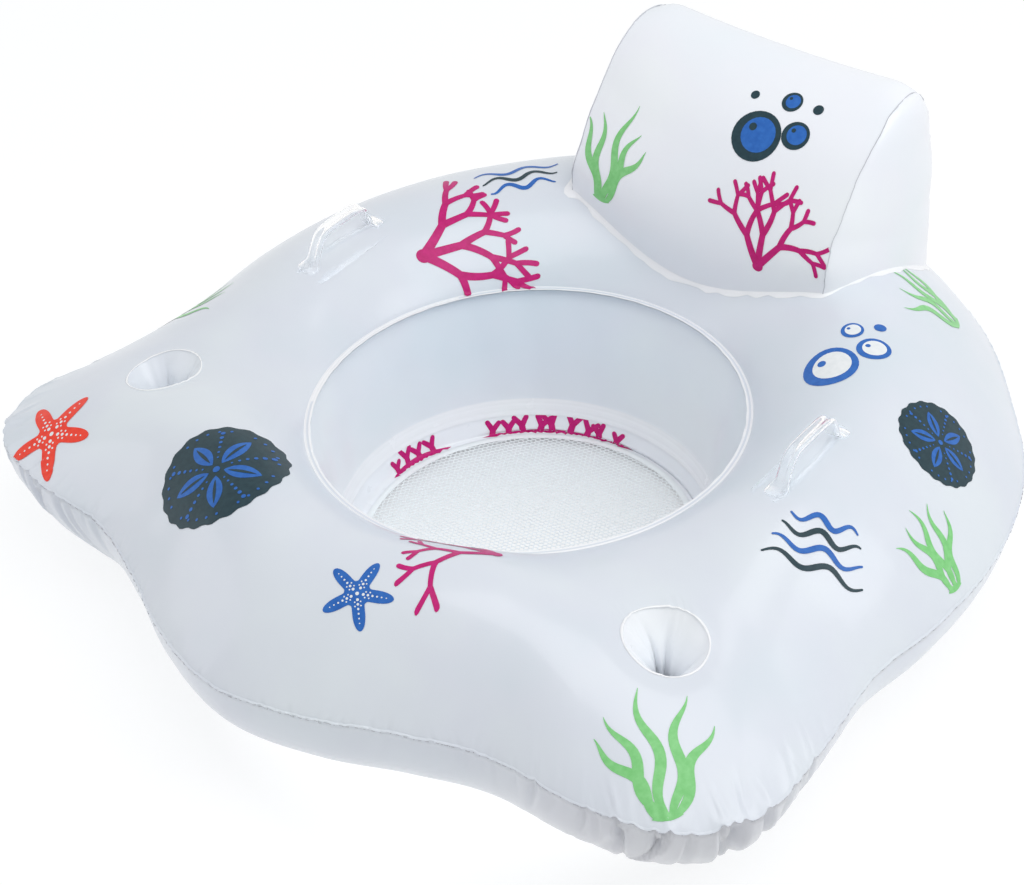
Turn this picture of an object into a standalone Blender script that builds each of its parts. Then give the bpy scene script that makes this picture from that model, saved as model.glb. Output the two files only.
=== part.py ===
"""Inflatable pool sofa: a lobed vinyl ring with a mesh seat floor, two cup wells, two grab
handles and a wedge backrest. Metres, +Z up, the floor at Z = 0, the sitter faces -Y.
Angles around the ring are in degrees from the front (-Y), turning towards +X.
"""

import math

import bmesh
import bpy
from mathutils import Matrix, Vector
from mathutils.bvhtree import BVHTree

COLLECTION = "pool_sofa"

# Vinyl
SHEET = 0.0004            # thickness of every vinyl sheet
GAP = 0.0003              # clearance between two sheets at a weld
LAY = 0.0007              # clearance between a piece and a faceted sheet that it follows

# Seat opening
RIM_HALF_X = 0.230
RIM_HALF_Y = 0.2485
RIM_Z = 0.180
RIM_WELD = 0.007          # width of the weld around the rim
FOOT_HALF_X = 0.205       # foot of the seat wall
FOOT_HALF_Y = 0.212
FOOT_Z = 0.045
FOOT_WELD = 0.020         # width of the weld under the seat wall
SKIRT_HALF_X = 0.1895     # bottom of the skirt that carries the net
SKIRT_HALF_Y = 0.2025
SKIRT_Z = 0.0072
SKIRT_FLANGE = 0.007      # flat edge of the skirt, over the net
SKIRT_LAP = 0.004         # distance from the foot to the skirt's hidden top edge

# Ring
SEAM_Z = 0.125
SEAM_WELD = 0.005         # width of the weld around the outside
# Distance of the outer seam from the middle of the seat, by angle from the front
OUTLINE = ((0, 0.473), (12, 0.460), (24, 0.447), (36, 0.466), (45, 0.526), (52, 0.568), (60, 0.570),
           (70, 0.522), (82, 0.479), (95, 0.484), (110, 0.503), (125, 0.524), (140, 0.542),
           (155, 0.578), (180, 0.621))
# Rise of the top sheet over the straight line from rim to seam, by angle from the front
CROWN = ((0, 0.067), (30, 0.071), (60, 0.043), (90, 0.077), (120, 0.091), (150, 0.105), (180, 0.102))
CROWN_SHIFT = 0.93        # below 1 the crest lies nearer to the rim
CROWN_FULLNESS = 0.87     # below 1 the sheet is steeper at its welds
BELLY_FULLNESS = 2.2      # exponent of the underside's outer curve
FLAT_INNER = 0.20         # part of the underside's width where it starts to lie on the floor
FLAT_OUTER = 0.38         # and where it leaves the floor
FOOT_RISE = 1.6           # exponent of the underside's rise to the foot

# Net
NET_THICK = 0.0005
NET_MARGIN = 0.010        # plain edge held by the skirt
NET_PITCH = 0.034
NET_STRAND = 0.007
NET_FIT = 0.001           # clearance of the net's edge inside the skirt

# Cup wells
CUP_X = 0.336
CUP_Y = -0.211            # from the middle of the seat
CUP_MOUTH = 0.040         # radius
CUP_BASE = 0.036
CUP_DEPTH = 0.110
CUP_WELD = 0.006
CUP_FLOOR_WELD = 0.008
CUP_CLEAR = 0.0005        # clearance of the top sheet's hole around the sleeve

# Grab handles
GRIP_X = 0.3153
GRIP_Y = 0.0468           # middle of the handle, from the middle of the seat
GRIP_SPAN = 0.1025        # between the middles of its two feet
GRIP_RISE = 0.031         # height of the bar over the ring
GRIP_LEG = 0.02225        # from the middle of a foot to the bar's straight stretch
STRAP_WIDE = 0.015
STRAP_THICK = 0.0045
STRAP_RIDGE = 0.0016      # height of the strap's two edges over its middle
PAD_LONG = 0.020
PAD_WIDE = 0.024
PAD_THICK = 0.0022
PATCH_END = 0.00475       # patch beyond the pads at both ends
PATCH_SIDE = 0.014        # patch beyond the pads at both sides
PATCH_CORNER = 0.008      # cut off each corner of the patch

# Backrest
REST_HALF = 0.1705        # half its width at the end seams
REST_FRONT = 0.287        # front of its foot at the end seams, from the middle of the seat
# Its outline at the end seams: distance behind the front of the foot, height over the rim
REST_PROFILE = ((0, 0.074), (0.0035, 0.112), (0.031, 0.166), (0.070, 0.218), (0.117, 0.254),
                (0.156, 0.262), (0.177, 0.241), (0.196, 0.196), (0.213, 0.128), (0.222, 0.070),
                (0.225, 0.044))
REST_RIDGE = 5            # which of those points is the ridge
REST_FOOT_BOW = 0.012     # how far the foot bows forward in the middle
REST_FRONT_BULGE = 0.020
REST_BACK_BULGE = 0.012
REST_SAG = 0.009          # how far the ridge sags in the middle
END_BULGE = 0.029         # how far the end panels stand out
LAP = 0.005               # lap of an end panel inside the cover
REST_ROOT = 0.012         # how far the sheets are drawn below the ring before they are trimmed to it

# Valves, turned about their own axes; heights are from the sheet's outer face
BOSS_RADIUS = 0.0155      # round part of the base that shows in the sheet's hole
BOSS_RISE = 0.0005
BASE_WELD = 0.0045        # width of the base's weld under the sheet
BASE_THICK = 0.0012
STEM_RADIUS = 0.007
STEM_TRAVEL = 0.010       # how far the stem pushes in
STEM_LEFT = 0.003         # how far it still stands out when it is in
STEM_STOP = 0.002         # width of its shoulder, which stops it under the base
STEM_STOP_THICK = 0.0015
STEM_FIT = 0.0003
BORE_TOP = 0.0044         # the bore narrows downwards, and so does the plug's shank
BORE_LOW = 0.0037
PLUG_SEAT = 0.0003        # clearance between plug and stem
PLUG_LIP = 0.0002         # how far the plug's head stands out over the stem
PLUG_THICK = 0.0017
PLUG_ROUND = 0.0006       # cut off the head's edge
SHANK_FIT = 0.0005        # clearance of the shank in the bore, at its top
SHANK_NARROWS = 0.0010
SHANK_LONG = 0.0050
TETHER_OUT = 0.0025       # from the stem's side to the tether's root
TETHER_WIDE = 0.004
TETHER_THICK = 0.001
FLAP_LAP = 0.0009         # how far the check flap reaches past the bore
FLAP_THICK = 0.0006
RING_VALVE_IN = 0.055     # from the outer seam, at the back
REST_VALVE_Z = 0.118      # from the rim's height

# Facets
AROUND = 72
ACROSS_TOP = 12
ACROSS_BELLY = 4
CUP_SIDES = 24
VALVE_SIDES = 20
REST_COLUMNS = 14
REST_ROWS = 9             # on each side of the ridge
END_COLUMNS = 6

COLOURS = {
    "vinyl": (0.86, 0.89, 0.92, 1.0),
    "vinyl_printed": (0.80, 0.20, 0.45, 1.0),
    "net_white": (0.93, 0.95, 0.96, 1.0),
    "clear_vinyl": (0.82, 0.87, 0.90, 1.0),
    "valve_vinyl": (0.90, 0.92, 0.93, 1.0),
}


def clear_scene():
    for item in list(bpy.data.objects):
        bpy.data.objects.remove(item, do_unlink=True)


def new_collection(name):
    folder = bpy.data.collections.new(name)
    bpy.context.scene.collection.children.link(folder)
    return folder


def material(name, roughness):
    surface = bpy.data.materials.new(name)
    surface.use_nodes = True
    shader = surface.node_tree.nodes["Principled BSDF"]
    shader.inputs["Base Color"].default_value = COLOURS[name]
    shader.inputs["Roughness"].default_value = roughness
    shader.inputs["Metallic"].default_value = 0.0
    return surface


def smooth_value(table, at):
    """Value at one place of the smooth curve through (place, value) rows, level at both ends."""
    def slope(i):
        if i == 0 or i == len(table) - 1:
            return 0.0
        (x0, y0), (x1, y1), (x2, y2) = table[i - 1:i + 2]
        before = (y1 - y0) / (x1 - x0)
        after = (y2 - y1) / (x2 - x1)
        return (before * (x2 - x1) + after * (x1 - x0)) / (x2 - x0)

    i = 0
    while i < len(table) - 2 and at > table[i + 1][0]:
        i += 1
    (x0, y0), (x1, y1) = table[i], table[i + 1]
    width = x1 - x0
    t = (at - x0) / width
    rise = (2 * t - 3) * t * t
    return (y0 * (1 + rise) - y1 * rise
            + width * (slope(i) * t * (1 - t) ** 2 - slope(i + 1) * t * t * (1 - t)))


def smooth_path(points, steps):
    """Points of a Catmull-Rom curve, steps of them on each stretch between two given points."""
    given = [Vector(p) for p in points]
    ends = [2 * given[0] - given[1]] + given + [2 * given[-1] - given[-2]]
    path = []
    for i in range(1, len(ends) - 2):
        a, b, c, d = ends[i - 1:i + 3]
        for k in range(steps):
            t = k / steps
            path.append(0.5 * (2 * b + (c - a) * t + (2 * a - 5 * b + 4 * c - d) * t * t
                               + (3 * b - a - 3 * c + d) * t ** 3))
    path.append(given[-1])
    return path


def outline(degrees):
    return smooth_value(OUTLINE, min(degrees, 360 - degrees))


def crown(degrees):
    return smooth_value(CROWN, min(degrees, 360 - degrees))


# The bounding box is centred on Y = 0, so the seat's middle lies a little forward of it
SEAT_Y = (outline(0) - outline(180)) / 2


def oval(degrees, half_x, half_y):
    a = math.radians(degrees)
    return 1 / math.hypot(math.sin(a) / half_x, math.cos(a) / half_y)


def ring_point(degrees, radius, z):
    a = math.radians(degrees)
    return Vector((radius * math.sin(a), SEAT_Y - radius * math.cos(a), z))


def top_point(degrees, part):
    """Point on the top sheet, from the rim (part 0) to the outer seam (part 1)."""
    rim = oval(degrees, RIM_HALF_X, RIM_HALF_Y)
    radius = rim + (outline(degrees) - rim) * part
    seam = SEAM_Z + GAP / 2 + SHEET
    arch = max(math.sin(math.pi * part ** CROWN_SHIFT), 0.0) ** CROWN_FULLNESS
    return ring_point(degrees, radius, RIM_Z + (seam - RIM_Z) * part + crown(degrees) * arch)


def foot_frame():
    """Directions in the (radius, height) plane: down the foot weld, and square to it, outwards."""
    down = Vector((SKIRT_HALF_X - FOOT_HALF_X, SKIRT_Z - FOOT_Z)).normalized()
    return down, Vector((-down.y, down.x))


def foot_point(degrees, along, behind):
    """Point along the foot weld, a distance behind its visible face."""
    down, out = foot_frame()
    shift = down * along + out * behind
    return ring_point(degrees, oval(degrees, FOOT_HALF_X, FOOT_HALF_Y) + shift.x, FOOT_Z + shift.y)


def belly_point(degrees, part, behind):
    """Point on the underside, from the foot (part 0) to the outer seam (part 1)."""
    _, out = foot_frame()
    inner = oval(degrees, FOOT_HALF_X, FOOT_HALF_Y) + out.x * behind
    foot_z = FOOT_Z + out.y * behind
    seam_z = SEAM_Z - GAP / 2 - SHEET
    radius = inner + (outline(degrees) - inner) * part
    if part < FLAT_INNER:
        z = foot_z * (1 - part / FLAT_INNER) ** FOOT_RISE
    elif part <= FLAT_OUTER:
        z = 0.0
    else:
        t = (part - FLAT_OUTER) / (1 - FLAT_OUTER)
        z = seam_z * (1 - max(1 - t ** BELLY_FULLNESS, 0.0) ** (1 / BELLY_FULLNESS))
    return ring_point(degrees, radius, z)


def mesh_of_grid(rows, closed):
    """Mesh of quads between rows of points; rows that run outwards face up."""
    shape = bmesh.new()
    verts = [[shape.verts.new(p) for p in row] for row in rows]
    count = len(rows[0])
    for low, high in zip(verts, verts[1:]):
        for i in range(count if closed else count - 1):
            j = (i + 1) % count
            shape.faces.new((low[i], high[i], high[j], low[j]))
    bmesh.ops.remove_doubles(shape, verts=shape.verts, dist=0.00001)
    return shape


def place(name, shape, surface, folder):
    data = bpy.data.meshes.new(name)
    shape.to_mesh(data)
    shape.free()
    item = bpy.data.objects.new(name, data)
    data.materials.append(surface)
    data.shade_smooth()
    data.set_sharp_from_angle(angle=math.radians(40))
    folder.objects.link(item)
    return item


def sheet(name, rows, surface, folder, closed=True, flip=False, even=True):
    """A vinyl sheet whose visible face goes through the rows, its thickness behind it."""
    shape = mesh_of_grid(rows, closed)
    if flip:
        bmesh.ops.reverse_faces(shape, faces=shape.faces)
    item = place(name, shape, surface, folder)
    thicken(item, even)
    return item


def thicken(item, even=True):
    """Even thickness draws long spikes at a sharp fold, so sheets with one go without it."""
    solid = item.modifiers.new("thickness", "SOLIDIFY")
    solid.thickness = SHEET
    solid.offset = -1
    solid.use_even_offset = even


def cut(item, cutter):
    trim = item.modifiers.new("cut " + cutter.name, "BOOLEAN")
    trim.operation = "DIFFERENCE"
    trim.solver = "EXACT"
    trim.object = cutter


def join(item, other):
    fuse = item.modifiers.new("join " + other.name, "BOOLEAN")
    fuse.operation = "UNION"
    fuse.solver = "EXACT"
    fuse.object = other


def hidden(name, shape, folder):
    """A solid that only cuts or joins others."""
    data = bpy.data.meshes.new(name)
    shape.to_mesh(data)
    shape.free()
    item = bpy.data.objects.new(name, data)
    item.hide_render = True
    item.display_type = "WIRE"
    folder.objects.link(item)
    return item


def round_cutter(name, radius, length, where, folder, sides):
    shape = bmesh.new()
    bmesh.ops.create_cone(shape, cap_ends=True, segments=sides, radius1=radius, radius2=radius,
                          depth=length)
    item = hidden(name, shape, folder)
    item.matrix_world = where
    return item


def angles():
    return [360 * i / AROUND for i in range(AROUND)]


def spread(count):
    """Places from 0 to 1, closer together at both ends."""
    return [(1 - math.cos(math.pi * k / count)) / 2 for k in range(count + 1)]


class Skin:
    """Heights, normals and distances on a sheet's visible face, read from its facets."""

    def __init__(self, item):
        self.tree = BVHTree.FromPolygons([v.co for v in item.data.vertices],
                                         [p.vertices for p in item.data.polygons])

    def hit(self, x, y):
        place_, normal, _, _ = self.tree.ray_cast(Vector((x, y, 1.0)), Vector((0, 0, -1)))
        return place_, normal

    def over(self, x, y, lift):
        """Point that lies a distance along the normal from the face, straight over (x, y)."""
        spot, normal = self.hit(x, y)
        return Vector((x, y, spot.z + lift / normal.z))

    def depth_under(self, origin, axis, side, radius):
        """How far the face falls below the plane square to the axis, around a circle."""
        other = axis.cross(side)
        deepest = 0.0
        for k in range(VALVE_SIDES):
            a = 2 * math.pi * k / VALVE_SIDES
            start = origin + (side * math.cos(a) + other * math.sin(a)) * radius + axis * 0.02
            spot = self.tree.ray_cast(start, -axis)[0]
            deepest = max(deepest, (start - spot).dot(axis) - 0.02)
        return deepest


def top_sheet(surface, folder):
    rows = [[ring_point(a, oval(a, RIM_HALF_X, RIM_HALF_Y) - RIM_WELD, RIM_Z) for a in angles()]]
    rows += [[top_point(a, s) for a in angles()] for s in spread(ACROSS_TOP)]
    edge = SEAM_Z + GAP / 2 + SHEET
    rows.append([ring_point(a, outline(a) + SEAM_WELD, edge) for a in angles()])
    return sheet("top_sheet", rows, surface, folder)


def bottom_sheet(surface, folder):
    behind = 3 * SHEET + 2 * GAP
    edge = SEAM_Z - GAP / 2 - SHEET
    parts = [FLAT_OUTER + (1 - FLAT_OUTER) * math.sin(math.pi / 2 * k / ACROSS_BELLY) ** (2 / BELLY_FULLNESS)
             for k in range(ACROSS_BELLY, -1, -1)]
    parts += [FLAT_INNER, FLAT_INNER / 2, 0.0]
    rows = [[ring_point(a, outline(a) + SEAM_WELD, edge) for a in angles()]]
    rows += [[belly_point(a, q, behind) for a in angles()] for q in parts]
    rows.append([foot_point(a, FOOT_WELD, behind) for a in angles()])
    return sheet("bottom_sheet", rows, surface, folder)


def seat_wall(surface, folder):
    flange_z = RIM_Z - 2 * SHEET - GAP

    def wall(a, part):
        low = oval(a, FOOT_HALF_X, FOOT_HALF_Y)
        high = oval(a, RIM_HALF_X, RIM_HALF_Y)
        return ring_point(a, low + (high - low) * part, FOOT_Z + (flange_z - FOOT_Z) * part)

    rows = [[foot_point(a, FOOT_WELD, 0) for a in angles()]]
    rows += [[wall(a, t) for a in angles()] for t in (0, 1)]
    rows.append([ring_point(a, oval(a, RIM_HALF_X, RIM_HALF_Y) - RIM_WELD, flange_z) for a in angles()])
    return sheet("seat_wall", rows, surface, folder)


def seat_skirt(surface, folder):
    behind = SHEET + GAP
    rows = [[ring_point(a, oval(a, SKIRT_HALF_X, SKIRT_HALF_Y) - SKIRT_FLANGE, SKIRT_Z) for a in angles()],
            [ring_point(a, oval(a, SKIRT_HALF_X, SKIRT_HALF_Y), SKIRT_Z) for a in angles()],
            [foot_point(a, FOOT_WELD, behind) for a in angles()],
            [foot_point(a, SKIRT_LAP, behind) for a in angles()]]
    return sheet("seat_skirt", rows, surface, folder)


def seat_net(surface, folder):
    """A flat net: one filled outline with a hexagonal gap at every place of a honeycomb."""
    half_x = SKIRT_HALF_X - NET_FIT
    half_y = SKIRT_HALF_Y - NET_FIT
    flat = bpy.data.curves.new("seat_net", "CURVE")
    flat.dimensions = "2D"
    flat.fill_mode = "BOTH"
    flat.extrude = NET_THICK / 2

    def outline_of(points):
        spline = flat.splines.new("POLY")
        spline.points.add(len(points) - 1)
        for point, (x, y) in zip(spline.points, points):
            point.co = (x, y, 0, 1)
        spline.use_cyclic_u = True

    def oval_outline():
        return [(half_x * math.cos(math.radians(a)), half_y * math.sin(math.radians(a))) for a in angles()]

    outline_of(oval_outline())
    corner = (NET_PITCH - NET_STRAND) / math.sqrt(3)
    row_step = NET_PITCH * math.sqrt(3) / 2
    rows = int(half_y / row_step) + 1
    columns = int(half_x / NET_PITCH) + 1
    for row in range(-rows, rows + 1):
        for column in range(-columns, columns + 1):
            x = (column + 0.5 * (row % 2)) * NET_PITCH
            y = row * row_step
            reach_x = half_x - NET_MARGIN - corner
            reach_y = half_y - NET_MARGIN - corner
            if (x / reach_x) ** 2 + (y / reach_y) ** 2 > 1:
                continue
            outline_of([(x + corner * math.sin(math.radians(60 * k)),
                         y + corner * math.cos(math.radians(60 * k))) for k in range(6)])
    item = bpy.data.objects.new("seat_net", flat)
    flat.materials.append(surface)
    item.location = (0, SEAT_Y, SKIRT_Z - SHEET - GAP - NET_THICK / 2)
    folder.objects.link(item)
    return item


def cup_well(side, ring, top, surface, folder, cutters):
    """Sleeve and floor of one cup well, and the hole for it in the top sheet."""
    name = "left" if side < 0 else "right"
    x = side * CUP_X
    y = SEAT_Y + CUP_Y
    mouth_z = ring.over(x, y, 0).z
    floor_z = mouth_z - CUP_DEPTH

    def circle(radius, z=None):
        points = []
        for k in range(CUP_SIDES):
            a = 2 * math.pi * k / CUP_SIDES
            px = x + radius * math.sin(a)
            py = y - radius * math.cos(a)
            points.append(Vector((px, py, z)) if z is not None else ring.over(px, py, -SHEET - LAY))
        return points

    mouth = circle(CUP_MOUTH)
    base = circle(CUP_BASE, floor_z)
    rows = [circle(CUP_BASE - CUP_FLOOR_WELD, floor_z), base, mouth, circle(CUP_MOUTH + CUP_WELD)]
    sheet("cup_sleeve_" + name, rows, surface, folder)

    disc = bmesh.new()
    bmesh.ops.create_cone(disc, cap_ends=True, segments=CUP_SIDES, radius1=CUP_BASE - GAP,
                          radius2=CUP_BASE - GAP, depth=2 * SHEET)
    floor = place("cup_floor_" + name, disc, surface, folder)
    floor.location = (x, y, floor_z - SHEET - GAP - SHEET)

    hole = round_cutter("cup_hole_" + name, CUP_MOUTH + CUP_CLEAR, CUP_DEPTH,
                        Matrix.Translation((x, y, mouth_z)), cutters, CUP_SIDES * 2)
    cut(top, hole)


def lift_faces(shape, by):
    """Moves every face of a mesh outwards by the same distance."""
    shape.normal_update()
    moves = [v.normal * v.calc_shell_factor() * by for v in shape.verts]
    for v, move in zip(shape.verts, moves):
        v.co += move


def cut_out(top, middle, half_x, half_y, corner):
    """The part of the top sheet's face over a rectangle with cut corners, lifted a gap clear of it."""
    shape = bmesh.new()
    shape.from_mesh(top.data)
    diagonal = (half_x + half_y - corner) / math.sqrt(2)
    for k in range(8):
        a = math.radians(45 * k)
        away = Vector((math.cos(a), math.sin(a), 0))
        reach = diagonal if k % 2 else (half_y if k % 4 == 2 else half_x)
        bmesh.ops.bisect_plane(shape, geom=shape.verts[:] + shape.edges[:] + shape.faces[:],
                               plane_co=middle + away * reach, plane_no=away, clear_outer=True)
    lift_faces(shape, GAP + SHEET)
    return shape


def grip_patch(side, top, surface, folder):
    """The clear patch under a handle, which lies on the top sheet."""
    name = "left" if side < 0 else "right"
    middle = Vector((side * GRIP_X, SEAT_Y + GRIP_Y, 0))
    half_long = (GRIP_SPAN + PAD_LONG) / 2 + PATCH_END
    shape = cut_out(top, middle, PAD_WIDE / 2 + PATCH_SIDE, half_long, PATCH_CORNER)
    item = place("grip_patch_" + name, shape, surface, folder)
    thicken(item)
    return item


def grip_stations():
    """Places along the handle: (distance along the ring, height, width, thickness, ridge)."""
    foot = GRIP_SPAN / 2
    bar = foot - GRIP_LEG
    side = [(foot + PAD_LONG / 2, 0.0, 0.014, PAD_THICK * 0.6, 0.0),
            (foot + PAD_LONG / 2 - 0.004, 0.0, PAD_WIDE, PAD_THICK, 0.0),
            (foot + 0.001, 0.0, PAD_WIDE, PAD_THICK, 0.0),
            (foot - 0.0025, 0.0, PAD_WIDE, PAD_THICK, 0.0),
            (foot - PAD_LONG / 2 + 0.003, 0.0012, STRAP_WIDE + 0.003, STRAP_THICK, STRAP_RIDGE * 0.3)]
    side += [(foot - 0.0115, 0.36 * GRIP_RISE, STRAP_WIDE, STRAP_THICK, STRAP_RIDGE * 0.7),
             (bar + 0.0045, 0.78 * GRIP_RISE, STRAP_WIDE, STRAP_THICK, STRAP_RIDGE),
             (bar - 0.002, 0.965 * GRIP_RISE, STRAP_WIDE, STRAP_THICK, STRAP_RIDGE),
             (bar * 0.45, GRIP_RISE, STRAP_WIDE, STRAP_THICK, STRAP_RIDGE)]
    return [(-a, h, w, t, r) for a, h, w, t, r in side] + [s for s in reversed(side)]


def grip(side, ring, surface, folder):
    """One moulded handle: two pads, two legs and a bar with a raised edge on either side."""
    name = "left" if side < 0 else "right"
    stations = grip_stations()
    lift = GAP + SHEET + LAY
    shape = bmesh.new()
    loops = []
    for i, (along, height, wide, thick, ridge) in enumerate(stations):
        before = stations[max(i - 1, 0)]
        after = stations[min(i + 1, len(stations) - 1)]
        run = Vector((after[0] - before[0], after[1] - before[1])).normalized()
        if height == 0.0:
            run = Vector((1.0, 0.0))
        rise = Vector((-run.y, run.x))
        half = wide / 2
        lip = half * 0.62
        section = [(-half, 0), (-half / 2, 0), (0, 0), (half / 2, 0), (half, 0),
                   (half, thick + ridge * 0.6), (lip, thick + ridge), (lip * 0.45, thick),
                   (-lip * 0.45, thick), (-lip, thick + ridge), (-half, thick + ridge * 0.6)]
        loop = []
        for across, up in section:
            x = side * GRIP_X + across
            y = SEAT_Y + GRIP_Y + along + rise.x * up
            rest = ring.over(x, y, lift).z
            loop.append(shape.verts.new((x, y, rest + height + rise.y * up)))
        loops.append(loop)
    for low, high in zip(loops, loops[1:]):
        for i in range(len(low)):
            j = (i + 1) % len(low)
            shape.faces.new((low[i], low[j], high[j], high[i]))
    shape.faces.new(reversed(loops[0]))
    shape.faces.new(loops[-1])
    bmesh.ops.recalc_face_normals(shape, faces=shape.faces)
    return place("grip_" + name, shape, surface, folder)


def ring_cutter(folder):
    """Everything below the top sheet and a gap over it, to trim what stands on the ring."""
    rows = [[top_point(a, s) for a in angles()] for s in spread(ACROSS_TOP)]
    shape = mesh_of_grid(rows, True)
    lift_faces(shape, GAP)
    edges = [e for e in shape.edges if e.is_boundary]
    drop = bmesh.ops.extrude_edge_only(shape, edges=edges)["geom"]
    for v in drop:
        if isinstance(v, bmesh.types.BMVert):
            v.co.z = SEAM_Z
    low = [e for e in shape.edges if e.is_boundary]
    bmesh.ops.bridge_loops(shape, edges=low)
    bmesh.ops.recalc_face_normals(shape, faces=shape.faces)
    return hidden("ring_space", shape, folder)


def rest_profile():
    """The backrest's outline at its end seams, as (y, z) in the part's frame, and the ridge's place."""
    steps = 2
    path = smooth_path([(SEAT_Y + REST_FRONT + y, RIM_Z + z) for y, z in REST_PROFILE], steps)
    return path, REST_RIDGE * steps


def rest_line(path, ridge, part):
    """Point of the outline: part 0 at the front foot, 0.5 at the ridge, 1 at the back foot."""
    def along(points, t):
        lengths = [0.0]
        for p, q in zip(points, points[1:]):
            lengths.append(lengths[-1] + (q - p).length)
        want = t * lengths[-1]
        for i in range(len(points) - 1):
            if want <= lengths[i + 1] or i == len(points) - 2:
                share = (want - lengths[i]) / (lengths[i + 1] - lengths[i])
                return points[i].lerp(points[i + 1], share)

    if part <= 0.5:
        return along(path[:ridge + 1], part * 2)
    return along(path[ridge:], part * 2 - 1)


def cover_point(path, ridge, ring, across, part):
    """Point on the backrest's cover; across is -1 at one end seam and 1 at the other."""
    line = rest_line(path, ridge, part)
    x = across * REST_HALF
    middle = 1 - across * across
    y = line.x
    z = line.y
    if part <= 0.5:
        climb = part * 2
        bulge = REST_FOOT_BOW * (1 - climb) + REST_FRONT_BULGE * math.sin(math.pi * climb) ** 0.8
        y -= middle * bulge
    else:
        climb = 2 - part * 2
        y += middle * REST_BACK_BULGE * math.sin(math.pi * climb) ** 0.8
    z -= middle * REST_SAG * climb ** 3
    foot = rest_line(path, ridge, 0.0 if part <= 0.5 else 1.0)
    foot_y = foot.x - (middle * REST_FOOT_BOW if part <= 0.5 else 0.0)
    ground = ring.over(x, foot_y, 0).z
    z += (ground - foot.y) * (1 - climb) ** 2
    return Vector((x, y, z))


def rooted(rows):
    """The rows with one more below the first, and one below the last, inside the ring."""
    down = Vector((0, 0, REST_ROOT))
    return [[p - down for p in rows[0]]] + rows + [[p - down for p in rows[-1]]]


def rest_cover(ring, space, surface, folder):
    """The sheet that wraps the backrest's front, ridge and back."""
    path, ridge = rest_profile()
    across = [2 * k / REST_COLUMNS - 1 for k in range(REST_COLUMNS + 1)]
    parts = [k / (2 * REST_ROWS) for k in range(2 * REST_ROWS + 1)]
    rows = [[cover_point(path, ridge, ring, u, v) for u in across] for v in parts]
    item = sheet("rest_cover", rooted(rows), surface, folder, closed=False, flip=True)
    cut(item, space)
    return item


def rest_end(side, ring, space, surface, folder):
    """One end panel: a domed wedge lapped inside the cover and welded to the ring at its foot."""
    path, ridge = rest_profile()
    name = "left" if side < 0 else "right"
    inset = LAP / (2 * REST_HALF / REST_COLUMNS)

    def seam(part, lapped):
        """Point behind the cover's edge, or the lap's width in from it."""
        step = 0.02
        run = rest_line(path, ridge, min(part + step, 1)) - rest_line(path, ridge, max(part - step, 0))
        run.normalize()
        spot = cover_point(path, ridge, ring, side, part)
        if lapped:
            spot = spot.lerp(cover_point(path, ridge, ring, side * (1 - 2 / REST_COLUMNS), part), inset)
        return spot + Vector((0, run.y, -run.x)) * (SHEET + (LAY if lapped else GAP))

    rows = []
    for r in range(REST_ROWS + 1):
        climb = r / REST_ROWS
        front = seam(climb / 2, False)
        back = seam(1 - climb / 2, False)
        stand = END_BULGE * (1 - climb) ** 0.55
        line = [seam(climb / 2, True)]
        for c in range(END_COLUMNS + 1):
            t = c / END_COLUMNS
            point = front.lerp(back, t)
            point.x += side * stand * (4 * t * (1 - t)) ** 0.7
            line.append(point)
        line.append(seam(1 - climb / 2, True))
        rows.append(line)
    root = [Vector((p.x, p.y, ring.over(p.x, p.y, 0).z - REST_ROOT)) for p in rows[0]]
    item = sheet("rest_end_" + name, [root] + rows, surface, folder, closed=False, flip=side > 0,
                 even=False)
    cut(item, space)
    return item


def turned(name, profile, surface, folder, holder, closed=False, pivot=(0, 0, 0)):
    """A turned solid: its (radius, height) profile runs down its outer side, from top to bottom.

    It is turned about the holder's Z axis, and its own origin lies at the pivot.
    """
    pivot = Vector(pivot)
    shape = bmesh.new()
    verts = [shape.verts.new(Vector((r, 0, z)) - pivot) for r, z in profile]
    for a, b in zip(verts, verts[1:]):
        shape.edges.new((a, b))
    if closed:
        shape.edges.new((verts[-1], verts[0]))
    item = place(name, shape, surface, folder)
    item.parent = holder
    item.location = pivot
    spin = item.modifiers.new("turn", "SCREW")
    spin.axis = "Z"
    spin.object = holder
    spin.steps = VALVE_SIDES
    spin.render_steps = VALVE_SIDES
    spin.use_merge_vertices = True
    spin.merge_threshold = 0.00001
    spin.use_smooth_shade = True
    return item


def block(name, low, high, folder, holder):
    """A box between two corners, to be joined to a turned piece."""
    shape = bmesh.new()
    bmesh.ops.create_cube(shape, size=1.0)
    low, high = Vector(low), Vector(high)
    bmesh.ops.scale(shape, vec=high - low, verts=shape.verts)
    bmesh.ops.translate(shape, vec=(low + high) / 2, verts=shape.verts)
    item = hidden(name, shape, folder)
    item.parent = holder
    return item


def plug_and_tether(prefix, seat_z, reach, surface, folder, cutters, holder):
    """The stem's plug and the tether that it swings on; its origin lies at the tether's root."""
    head = STEM_RADIUS + PLUG_LIP
    shank = BORE_TOP - SHANK_FIT
    plug = turned(prefix + "_plug",
                  [(0, seat_z + PLUG_THICK), (head - PLUG_ROUND, seat_z + PLUG_THICK),
                   (head, seat_z + PLUG_THICK - PLUG_ROUND), (head, seat_z), (shank, seat_z),
                   (shank - SHANK_NARROWS, seat_z - SHANK_LONG), (0, seat_z - SHANK_LONG)],
                  surface, folder, holder, pivot=(reach, 0, seat_z + TETHER_THICK / 2))
    tether = block(prefix + "_tether", (head - 0.0015, -TETHER_WIDE / 2, seat_z + 0.00005),
                   (reach + 0.0004, TETHER_WIDE / 2, seat_z + TETHER_THICK), cutters, holder)
    join(plug, tether)


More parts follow.
